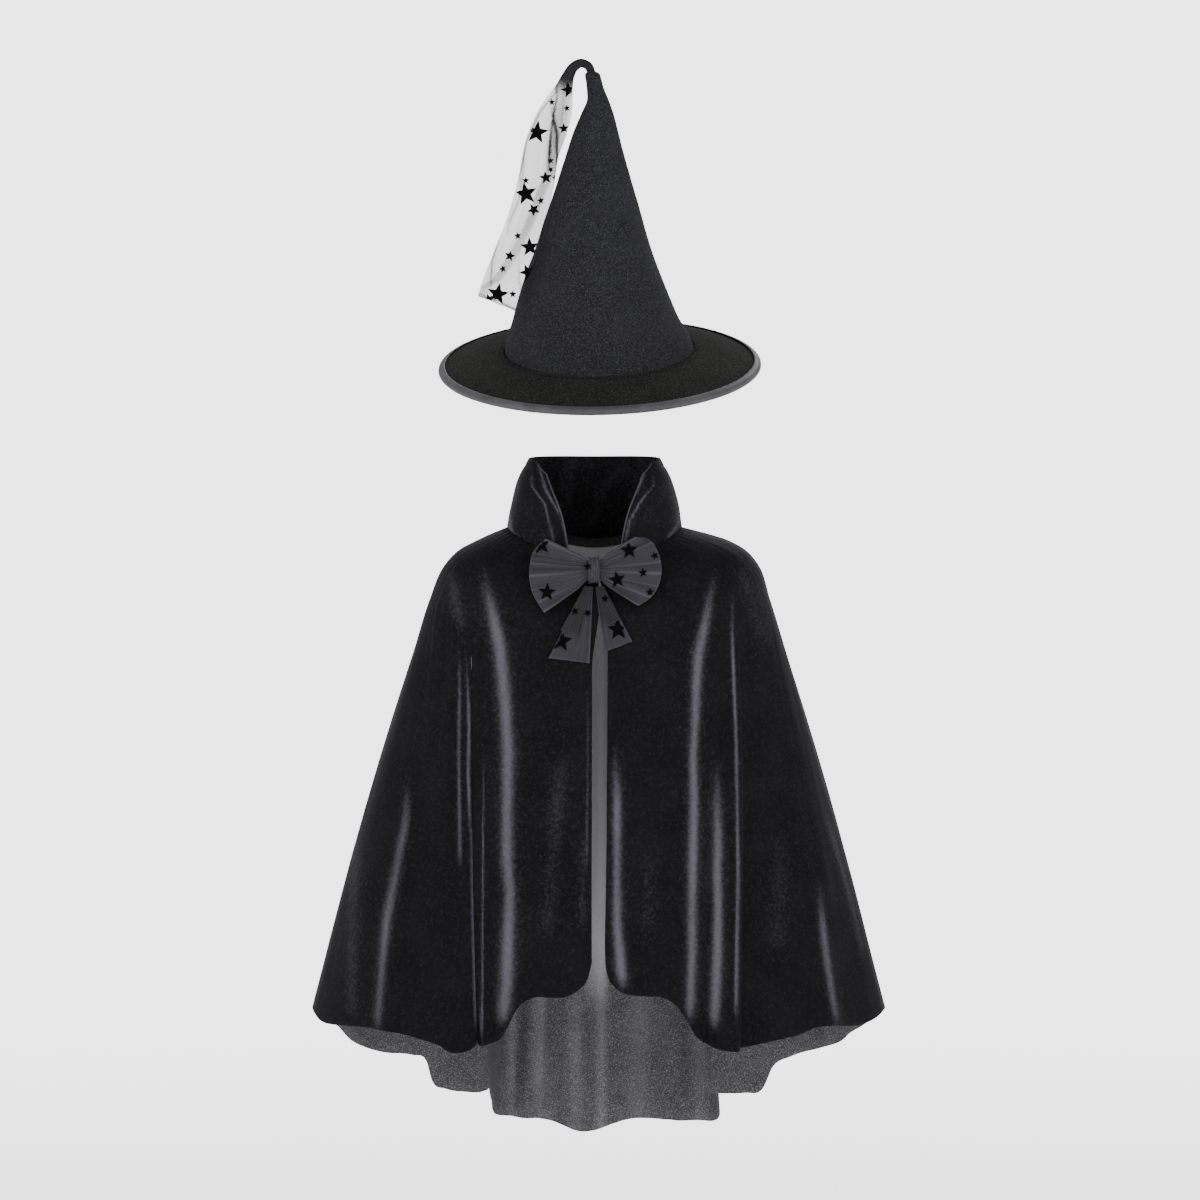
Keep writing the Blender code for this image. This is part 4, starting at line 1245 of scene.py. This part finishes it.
def make_collar():
    outer = collar_cloth(COLLAR_FINE_COLUMNS, COLLAR_FINE_ROWS, 0.75)
    facing = collar_cloth(COLLAR_FINE_COLUMNS, COLLAR_FINE_ROWS, -0.75)
    painted_light_and_tone = []
    for column in outer:
        line = []
        for point in column:
            px, py = view_pixel(point)
            # painted highlight streaks on the collar's front edges; the cloud is random tone
            front = streak_at(COLLAR_STREAKS, px, py) if point.y < 12.0 else 0.0
            cloud = 0.12 * clamp(0.5 + 1.6 * noise.noise(point * 0.05))
            line.append(front + cloud)
        painted_light_and_tone.append(line)
    # painted light lifting the facing inside the collar out of its shade, with random tone
    inside = []
    for column in facing:
        clouds = [noise.noise(point * 0.06 + Vector((9.0, 0.0, 0.0))) for point in column]
        inside.append([0.2 + 0.1 * clamp(0.4 + 1.8 * cloud) for cloud in clouds])
    zero = [[0.0] * len(line) for line in painted_light_and_tone]
    shell = grid_object("collar_outer_cloth", outer, ("velvet", "velvet"), flip=True,
                        values={"painted_light_and_tone": painted_light_and_tone, "lit": zero}, thick=1.1)
    declare(shell, ("collar_outer",))
    lining = grid_object("collar_facing_cloth", facing, ("velvet", "velvet"), flip=False,
                         values={"painted_light_and_tone": inside, "lit": zero}, thick=1.1)
    declare(lining, ("collar_facing",))
    middle = collar_grid(COLLAR_FINE_COLUMNS, COLLAR_FINE_ROWS)
    path = middle[0] + [c[-1] for c in middle[1:-1]] + middle[-1][::-1]
    outs = [Vector((p.x, p.y, 0.0)).normalized() for p in path]
    rings = tube_rings(path, [1.35] * len(path), 10, outs)
    roll = strip_object("collar_edge_roll", [rings], "velvet")
    # painted highlight along the roll on the front, where it catches the light, and a little elsewhere
    layer = roll.data.attributes.new("painted_light_and_tone", "FLOAT", "POINT")
    count = len(rings[0])
    glow = []
    for ring in rings:
        glow.extend([0.62 if ring[0].y < 20.0 and ring[0].z < 76.0 else 0.2] * count)
    layer.data.foreach_set("value", glow)


def make_neck_tape():
    half_width, y_front, y_back, z_side, z_front, z_back, _ = COLLAR[0]
    columns = 180
    grid, lower = [], []
    for i in range(columns + 1):
        angle = TAPE_START + (360.0 - 2 * TAPE_START) * i / columns
        seam = ring_point(0.0, half_width - TAPE_INSET, y_front - TAPE_INSET, y_back - TAPE_INSET,
                          z_side, z_front, z_back, angle, RING_ROUNDNESS)
        wave = 0.25 * math.sin(i * 0.9)
        column = []
        for j in range(7):
            s = j / 6
            inward = Vector((-seam.x, -seam.y, 0.0)).normalized()
            z = TAPE_BOTTOM + (TAPE_TOP - TAPE_BOTTOM) * s
            bulge = 0.5 * math.sin(math.pi * s) + wave * (1 - s)
            column.append(seam + inward * bulge + Vector((0.0, 0.0, z)))
        grid.append(column)
        lower.append(column[0])
    tape = grid_object("neck_tape_cloth", grid, ("tape", "tape"), thick=0.7)
    declare(tape, ("neck_tape",))
    zigzag = []
    total = path_length(lower)
    for k in range(int(total / 1.1)):
        place = path_at(lower, k * 1.1)
        out = Vector((-place.x, -place.y, 0.0)).normalized()
        zigzag.append(place + out * 0.7 + Vector((0.0, 0.0, 1.0 if k % 2 else -1.1)))
    outward = [Vector((-p.x, -p.y, 0.0)).normalized() for p in zigzag]
    edging = strip_object("neck_tape_overlock", [tube_rings(zigzag, [0.34] * len(zigzag), 6, outward)],
                          "thread")


# Painted highlight lines where the loops' cloth folds on itself, top 0 to bottom 1, and how sharply.
LOOP_FOLDS = {
    "bow_loop_left": ((0.015, 0.02), (0.17, 0.008), (0.34, 0.01), (0.53, 0.016), (0.7, 0.008), (0.86, 0.01),
                      (0.985, 0.016)),
    "bow_loop_right": ((0.015, 0.018), (0.2, 0.012), (0.41, 0.008), (0.52, 0.016), (0.68, 0.008),
                       (0.82, 0.018), (0.985, 0.016)),
}
# How pale each stretch of a loop is, top 0 to bottom 1, under its painted highlight lines.
LOOP_SHADES = {
    "bow_loop_left": ((0.0, 0.10), (0.2, 0.02), (0.5, 0.02), (0.56, 0.12), (0.8, 0.09), (1.0, 0.06)),
    "bow_loop_right": ((0.0, 0.10), (0.25, 0.03), (0.5, 0.03), (0.56, 0.12), (0.85, 0.08), (1.0, 0.05)),
}


def step_value(rows, t):
    for (t0, v0), (t1, v1) in zip(rows, rows[1:]):
        if t <= t1:
            return v0 + (v1 - v0) * ease((t - t0) / (t1 - t0))
    return rows[-1][1]


def bow_loop(name, side, outline):
    """A loop with fine gathers at the knot, which open towards its outer edge."""
    around, across = 72, 96
    grid = loop_grid(side, outline, around, across)
    painted_light_and_tone = []
    for i, column in enumerate(grid):
        q = i / across
        line = []
        for j, point in enumerate(column):
            out = (1.0 - math.cos(2 * math.pi * j / around)) / 2
            gather = math.sin(q * 71.0 + 2.0 * noise.noise(Vector((q * 9.0, side, 0.0))))
            soft = noise.noise(Vector((q * 7.0, out * 1.5, 4.0 + side)))
            stand = 0.5 * gather * ease(out / 0.15) * (1.0 - 0.75 * out) + 0.9 * soft * ease(out / 0.3)
            column[j] = point + Vector((0.0, -1.0, 0.0)) * stand
            # painted highlight on the fold lines, the outer rim and the crests of the gathers near the knot
            fold = sum(math.exp(-((q - c) / w) ** 2) for c, w in LOOP_FOLDS[name])
            rim = math.exp(-((1.0 - out) / 0.015) ** 2)
            gathered = 0.35 * max(gather, 0.0) * (1.0 - ease(out / 0.55))
            shade = step_value(LOOP_SHADES[name], q) + 0.62 * fold * (0.45 + 0.55 * out)
            line.append(clamp(shade + 0.3 * rim + gathered))
        painted_light_and_tone.append(line)
    dense = [[0.12 * value for value in line] for line in painted_light_and_tone]
    obj = grid_object(name + "_tulle", grid, ("bow_tulle",), values={"painted_light_and_tone": painted_light_and_tone, "dense": dense})
    declare(obj, (name,))
    return obj, grid


def hanging_end(name):
    """A tail or a short loop under the knot, gathered at its top."""
    waves = HANGING[name][-1]
    across, down = 28, 44
    grid = hanging_grid(name, across, down)
    painted_light_and_tone = []
    gathered_side = 1.0 if "left" in name else 0.0
    for i, column in enumerate(grid):
        q = i / across
        line = []
        near = 1.0 - abs(q - gathered_side)
        for j, point in enumerate(column):
            s = j / down
            gather = math.sin(q * 34.0 + 2.0 * noise.noise(Vector((q * 6.0, s * 2.0, waves))))
            tight = (1.0 - s) * 0.8 + (near > 0.62) * 0.6 * ("tail" in name)
            stand = 0.35 * gather * clamp(tight) + 0.3 * noise.noise(point * 0.09)
            column[j] = point - Vector((0.0, stand, 0.0))
            # painted highlight on the side edges, the foot and the gather crests, and less of it on the
            # tails' gathered strip
            edge = math.exp(-(min(q, 1.0 - q) / 0.035) ** 2) + math.exp(-((1.0 - s) / 0.02) ** 2)
            strip = 0.12 if near > 0.62 and "tail" in name else 0.0
            line.append(clamp(0.05 + 0.3 * edge + 0.3 * max(gather, 0.0) * clamp(tight) - strip))
        painted_light_and_tone.append(line)
    cloth = "drop_tulle" if "drop" in name else "bow_tulle"
    obj = grid_object(name + "_tulle", grid, (cloth,), values={"painted_light_and_tone": painted_light_and_tone})
    declare(obj, (name,))
    return obj, grid


def bow_knot():
    """Tulle wrapped round the middle in uneven folds."""
    around, along_steps = 72, 24
    grid, painted_light_and_tone = [], []
    for i in range(around):
        angle = 2 * math.pi * i / around
        column, line = [], []
        for j in range(along_steps + 1):
            along = j / along_steps - 0.5
            waist = 1.0 + 0.5 * along * along
            wrap = math.sin(along * 30.0 + 1.4 * math.sin(angle * 2.0)) * 0.55
            lump = noise.noise(Vector((math.cos(angle) * 2.0, math.sin(angle) * 2.0, along * 5.0))) * 0.9
            r_y = KNOT_RADIUS_Y * waist + wrap * 0.6 + lump * 0.5
            r_z = KNOT_RADIUS_Z * waist + wrap + lump
            offset = Vector((KNOT_LENGTH * along, r_y * math.cos(angle), r_z * math.sin(angle)))
            column.append(Vector(KNOT) + offset)
            # painted highlight on the crests of the wraps, with random tone from the lumps
            line.append(clamp(0.16 + 0.45 * max(wrap, 0.0) + 0.3 * lump))
        grid.append(column)
        painted_light_and_tone.append(line)
    obj = grid_object("bow_knot_tulle", grid, ("bow_tulle",), closed=True, values={"painted_light_and_tone": painted_light_and_tone})
    declare(obj, ("bow_knot",))
    return obj, grid


def grid_faces(grids):
    verts, faces = [], []
    for grid in grids:
        rows = len(grid[0])
        start = len(verts)
        verts.extend(point for column in grid for point in column)
        for i in range(len(grid) - 1):
            for j in range(rows - 1):
                a = start + i * rows + j
                faces.append((a, a + 1, a + rows + 1, a + rows))
    return BVHTree.FromPolygons(verts, faces)


STAR_INNER, STAR_LIFT = 0.42, 0.9
STAR_RINGS = (0.0, 0.3, 0.6, 0.85, 1.0)


def star_points(radius, turn):
    """A five-pointed star: offsets in its plane by ring and direction."""
    rings = []
    for share in STAR_RINGS[1:]:
        ring = []
        for k in range(20):
            angle = math.radians(turn + 90.0 + 18.0 * k)
            corner = k % 4
            reach = 1.0 if corner == 0 else STAR_INNER if corner == 2 else None
            if reach is None:
                tip = Vector((1.0, 0.0))
                notch = Vector((math.cos(math.radians(36.0)), math.sin(math.radians(36.0)))) * STAR_INNER
                reach = ((tip + notch) / 2).length
                away = math.degrees(math.atan2(((tip + notch) / 2).y, ((tip + notch) / 2).x))
                angle = math.radians(turn + 90.0 + 72.0 * ((k + 1) // 4) + (away if corner == 1 else -away))
            ring.append(Vector((math.cos(angle), math.sin(angle))) * reach * radius * share)
        rings.append(ring)
    return rings


def add_star(verts, faces, tree, centre, radius, turn, direction, layer):
    """One star laid on the cloth by looking along Y; parts that miss the cloth are left out."""
    start = Vector((0.0, -1000.0 * direction, 0.0))
    ray = Vector((0.0, direction, 0.0))

    def on_cloth(x, z):
        origin = Vector((x, 0.0, z)) + start
        hit = None
        for _ in range(layer + 1):
            hit = tree.ray_cast(origin, ray)[0]
            if hit is None:
                return None
            origin = hit + ray * 0.6
        return hit - ray * STAR_LIFT

    middle = on_cloth(centre.x, centre.z)
    rings = star_points(radius, turn)
    index = [[None] * 20 for _ in rings]
    base = len(verts)
    if middle is None:
        return
    verts.append(middle * MM)
    for r, ring in enumerate(rings):
        for k, offset in enumerate(ring):
            place = on_cloth(centre.x + offset.x, centre.z + offset.y)
            if place is not None and abs(place.y - middle.y) < 9.0:
                index[r][k] = len(verts)
                verts.append(place * MM)
    for k in range(20):
        a, b = index[0][k], index[0][(k + 1) % 20]
        if a is not None and b is not None:
            faces.append((base, a, b))
        for r in range(len(rings) - 1):
            corners = (index[r][k], index[r + 1][k], index[r + 1][(k + 1) % 20], index[r][(k + 1) % 20])
            if None not in corners:
                faces.append(corners)


def star_object(name, tree, seen_stars, depth, behind=False):
    verts, faces = [], []
    for px, py, radius, turn, layer in seen_stars:
        centre = seen(px, py, depth)
        add_star(verts, faces, tree, centre, radius, turn, 1.0, layer)
        if behind:
            add_star(verts, faces, tree, centre, radius * 0.8, turn, -1.0, 0)
    mesh = bpy.data.meshes.new(name)
    mesh.from_pydata(verts, [], faces)
    mesh.materials.append(MATERIALS["star"])
    obj = bpy.data.objects.new(name, mesh)
    bpy.context.scene.collection.objects.link(obj)
    return declare(obj)


def make_bow():
    left, left_grid = bow_loop("bow_loop_left", -1.0, LEFT_LOOP)
    right, right_grid = bow_loop("bow_loop_right", 1.0, RIGHT_LOOP)
    ends = {name: hanging_end(name) for name in HANGING}
    knot, knot_grid = bow_knot()
    grids = [left_grid, right_grid, knot_grid] + [grid for _, grid in ends.values()]
    stars = star_object("bow_stars", grid_faces(grids), BOW_STARS, -88.0)
    tails = [grid for name, (_, grid) in ends.items() if "tail" in name]
    tail_stars = star_object("bow_tail_stars", grid_faces(tails), TAIL_STARS, -88.0)


CROWN_FINE_COLUMNS, CROWN_FINE_STEPS = 160, 9


def make_hat():
    turn = hat_frame()
    rows = table(CROWN)
    knots = [row[0] for row in rows]
    rings = []
    for position in subdivided(len(rows), CROWN_FINE_STEPS):
        i = min(int(position), len(rows) - 2)
        t = knots[i] + (knots[i + 1] - knots[i]) * (position - i)
        _, radius, lean = spline(knots, rows, t)
        ring = crown_ring(t, radius, lean, CROWN_FINE_COLUMNS)
        for k, point in enumerate(ring):
            out = Vector((point.x - lean, point.y, 0.0)).normalized()
            angle = 2 * math.pi * k / CROWN_FINE_COLUMNS
            dent = noise.noise(Vector((math.cos(angle) * 1.6, math.sin(angle) * 1.6, t * 0.014))) * 1.3
            dent *= clamp(t / 20.0) * clamp((258.0 - t) / 60.0 + 0.25)
            tuft = noise.noise(point * 0.35) * 0.18
            from_seam = abs(math.degrees(angle) - 180.0) * math.pi / 180.0 * radius
            seam = 0.8 * math.exp(-((from_seam - 2.2) / 1.4) ** 2) - 1.0 * math.exp(-(from_seam / 0.7) ** 2)
            ring[k] = point + out * (dent + tuft + seam * clamp(t / 4.0))
        rings.append(ring)
    foot = [point.copy() for point in rings[0]]
    for point in foot:
        out = Vector((point.x, point.y, 0.0)).normalized()
        point += out * 0.9 - Vector((0.0, 0.0, 1.4))
    rings.insert(0, foot)
    top = rings[-1]
    centre = sum(top, Vector()) / len(top)
    for share, rise in ((0.9, 1.1), (0.7, 2.1), (0.4, 2.8), (0.12, 3.0)):
        rings.append([centre + (point - centre) * share + Vector((-rise * 0.4, 0.0,
                                                                  rise)) for point in top])
    grid = [[turn @ ring[k] for ring in rings] for k in range(CROWN_FINE_COLUMNS)]
    cone = grid_object("hat_cone_felt", grid, ("crown_felt",), closed=True, flip=True, thick=2.0)
    declare(cone, ("hat_cone",))

    columns = 200
    profile_rows = table(BRIM_PROFILE)
    profile_knots = [row[0] for row in profile_rows]
    grid = []
    for i in range(columns):
        angle = 2 * math.pi * i / columns
        column = []
        for position in subdivided(len(profile_rows), 7):
            k = min(int(position), len(profile_rows) - 2)
            t = profile_knots[k] + (profile_knots[k + 1] - profile_knots[k]) * (position - k)
            r, h = spline(profile_knots, profile_rows, t)
            inner = (BRIM_RADIUS - t) / (BRIM_RADIUS - BRIM_PROFILE[0][0])
            depth = 1.0 + (CROWN_DEPTH - 1.0) * inner
            wave = noise.noise(Vector((math.cos(angle) * 1.3, math.sin(angle) * 1.3, t * 0.02))) * 1.1
            h += wave * clamp((t - 92.0) / 20.0) * clamp((149.0 - t) / 8.0)
            column.append(turn @ Vector((t * math.sin(angle), -t * depth * math.cos(angle), h)))
        grid.append(column)
    brim = grid_object("hat_brim_felt", grid, ("brim_felt",), closed=True, thick=2.2)
    declare(brim, ("hat_brim",))
    binding, thread = make_binding(turn)
    seam_line, outs = [], []
    for i in range(241):
        angle = 2 * math.pi * i / 240
        r = 93.2
        depth = 1.0 + (CROWN_DEPTH - 1.0) * (BRIM_RADIUS - r) / (BRIM_RADIUS - BRIM_PROFILE[0][0])
        seam_line.append(turn @ Vector((r * math.sin(angle), -r * depth * math.cos(angle), 17.55)))
        outs.append((turn.to_3x3() @ Vector((0.0, 0.0, 1.0))).normalized())
    seam = strip_object("hat_crown_stitches", stitch_strips(seam_line, outs, 4.2, 3.0, 0.3), "thread")


def make_binding(turn):
    columns = 220
    section = []
    for k in range(13):
        angle = math.radians(-90.0 + 180.0 * k / 12)
        section.append((BINDING_HALF_THICK * math.cos(angle), BINDING_HALF_THICK * math.sin(angle)))
    lower = [(-BINDING_HALF_WIDTH * s, -BINDING_HALF_THICK) for s in (0.62, 0.45, 0.3, 0.15)]
    upper = [(-BINDING_HALF_WIDTH * s, BINDING_HALF_THICK) for s in (0.15, 0.3, 0.45, 0.62)]
    section = lower + section + upper
    grid, line, outs = [], [], []
    for i in range(columns):
        angle = 2 * math.pi * i / columns
        ring = Vector((math.cos(angle) * 6.0, math.sin(angle) * 6.0, 2.0))
        pull = 0.22 * math.sin(i * 1.9) + 0.3 * noise.noise(ring)
        column = []
        for out, up in section:
            r = BINDING_RADIUS + out + (pull if out < -1.0 else 0.0)
            h = BINDING_HEIGHT + up - out * 0.33 + 0.2 * pull
            column.append(turn @ Vector((r * math.sin(angle), -r * math.cos(angle), h)))
        grid.append(column)
        r = BINDING_RADIUS - BINDING_HALF_WIDTH * 0.62 + 0.9
        h = BINDING_HEIGHT + BINDING_HALF_THICK + 0.5 + (BINDING_HALF_WIDTH * 0.62 - 0.9) * 0.33
        line.append(turn @ Vector((r * math.sin(angle), -r * math.cos(angle), h)))
        outs.append((turn.to_3x3() @ Vector((0.0, 0.0, 1.0))).normalized())
    obj = grid_object("brim_binding_satin", grid, ("satin",), closed=True, thick=0.8)
    declare(obj, ("brim_binding",))
    line.append(line[0])
    outs.append(outs[0])
    thread = strip_object("brim_binding_stitches", stitch_strips(line, outs, 3.2, 2.3, 0.24), "pale_thread")
    return obj, thread


TRAIL_ROOT = (-1.9, -61.6, 436.0, 6.5, 5.5)


def make_trail():
    rows = [Vector(TRAIL_ROOT)] + table(TRAIL)
    knots = chord_knots([Vector(row[:3]) for row in rows])
    across, down = 108, 150
    grid, painted_light_and_tone, dense = [], [], []
    for i in range(across + 1):
        q = i / across
        column, line, layers = [], [], []
        for j in range(down + 1):
            t = knots[-1] * j / down
            s = j / down
            point = trail_point(rows, knots, t, q)
            loose = ease((s - 0.16) / 0.25)
            gather = math.sin(q * 95.0 + 3.0 * noise.noise(Vector((q * 8.0, s * 3.0, 0.0))))
            drift = noise.noise(Vector((q * 5.0, s * 6.0, 1.0)))
            wave = Vector((0.25 * gather + 1.4 * drift * loose, 0.7 * gather + 1.6 * drift * loose, 0.0))
            ragged = 3.0 * noise.noise(Vector((q * 9.0, 5.0, 0.0))) * ease((s - 0.92) / 0.08)
            column.append(point + wave + Vector((0.0, 0.0, ragged)))
            rim = math.exp(-(min(q, 1.0 - q) / 0.01) ** 2)
            turn = math.exp(-((abs(q - 0.5) - 1.0 / 6.0) / 0.012) ** 2)
            hem = math.exp(-((1.0 - s) / 0.006) ** 2)
            gathered = 0.95 * (1.0 - ease((s - 0.11) / 0.12))
            px, py = view_pixel(column[-1])
            lying = streak_at(TRAIL_LAYERS, px, py, 6.0) if 0.33 < q < 0.67 else 0.0
            edges = 0.45 * rim + 0.4 * turn + 0.5 * hem
            layers.append(clamp(gathered + 1.5 * lying + edges + 0.03 * max(gather, 0.0)))
            # painted highlight on the crests of the gathers
            line.append(clamp(0.25 + 0.5 * gather))
        grid.append(column)
        painted_light_and_tone.append(line)
        dense.append(layers)
    obj = grid_object("hat_trail_tulle", grid, ("trail_tulle",), values={"painted_light_and_tone": painted_light_and_tone, "dense": dense})
    declare(obj, ("hat_trail",))
    stars = star_object("hat_trail_stars", grid_faces([grid]), TRAIL_STARS, -62.0, True)


def add_light(name, place, width, height, power):
    light = bpy.data.lights.new(name, "AREA")
    light.shape = "RECTANGLE"
    light.size = width
    light.size_y = height
    light.energy = power
    obj = bpy.data.objects.new(name, light)
    obj.location = place
    obj.rotation_euler = (Vector(LIGHT_TARGET) - Vector(place)).to_track_quat("-Z", "Y").to_euler()
    bpy.context.scene.collection.objects.link(obj)


def make_studio():
    scene = bpy.context.scene
    world = bpy.data.worlds.new("studio")
    world.use_nodes = True
    background = world.node_tree.nodes["Background"]
    background.inputs["Color"].default_value = (1.0, 1.0, 1.0, 1.0)
    background.inputs["Strength"].default_value = WORLD_STRENGTH
    scene.world = world
    mesh = bpy.data.meshes.new("studio_floor")
    angles = [2 * math.pi * k / FLOOR_SIDES for k in range(FLOOR_SIDES)]
    mesh.from_pydata([(math.cos(a) * FLOOR_RADIUS, math.sin(a) * FLOOR_RADIUS,
                       FLOOR_LEVEL) for a in angles], [],
                     [tuple(range(FLOOR_SIDES))])
    floor = bpy.data.objects.new("studio_floor", mesh)
    scene.collection.objects.link(floor)
    material, tree, shader = new_material("studio_floor")
    grain = add_noise(tree, 2.0, 2.0)
    tree.links.new(mix_colour(tree, grain, (0.9, 0.9, 0.9), (0.93, 0.93, 0.93)),
                   shader.inputs["Base Color"])
    shader.inputs["Roughness"].default_value = 0.9
    shader.inputs["Emission Color"].default_value = (1.0, 1.0, 1.0, 1.0)
    coords = tree.nodes.new("ShaderNodeTexCoord")
    length = tree.nodes.new("ShaderNodeVectorMath")
    length.operation = "LENGTH"
    tree.links.new(coords.outputs["Object"], length.inputs[0])
    tree.links.new(remap(tree, length.outputs["Value"], *FLOOR_GLOW),
              shader.inputs["Emission Strength"])
    mesh.materials.append(material)
    for name, place, width, height, power in LIGHTS:
        add_light(name, place, width, height, power)
    camera = bpy.data.cameras.new("camera")
    obj = bpy.data.objects.new("camera", camera)
    tilt = math.radians(VIEW_ELEVATION)
    target = Vector(VIEW_TARGET) * MM
    obj.location = target + Vector((0.0, -math.cos(tilt), math.sin(tilt))) * VIEW_DISTANCE
    obj.rotation_euler = (math.radians(90.0) - tilt, 0.0, 0.0)
    camera.sensor_width = SENSOR
    camera.lens = SENSOR * VIEW_DISTANCE / (VIEW_PIXELS * PIXEL_SIZE * MM)
    camera.clip_end = 200.0
    scene.collection.objects.link(obj)
    scene.camera = obj


WORLD_STRENGTH = 0.8
FLOOR_LEVEL, FLOOR_RADIUS, FLOOR_SIDES = -1.3, 60.0, 48
# The floor's glow: where it starts and ends to grow with the distance from the costume, and its two
# strengths.
FLOOR_GLOW = (2.0, 7.0, 0.15, 2.8)
# Lights: name, place, width, height and power. All face the same point.
LIGHT_TARGET = (0.0, 0.0, -0.1)
LIGHTS = (
    ("left_strip", (-2.6, -2.0, 0.7), 0.5, 3.2, 42.0),
    ("right_strip", (2.6, -1.9, 0.7), 0.5, 3.2, 42.0),
    ("front_top", (0.0, -3.2, 3.0), 2.4, 1.4, 55.0),
    ("back_fill", (0.6, 3.4, 2.2), 2.0, 2.0, 60.0),
)

make_cape()
make_collar()
make_neck_tape()
make_bow()
make_hat()
make_trail()
make_studio()
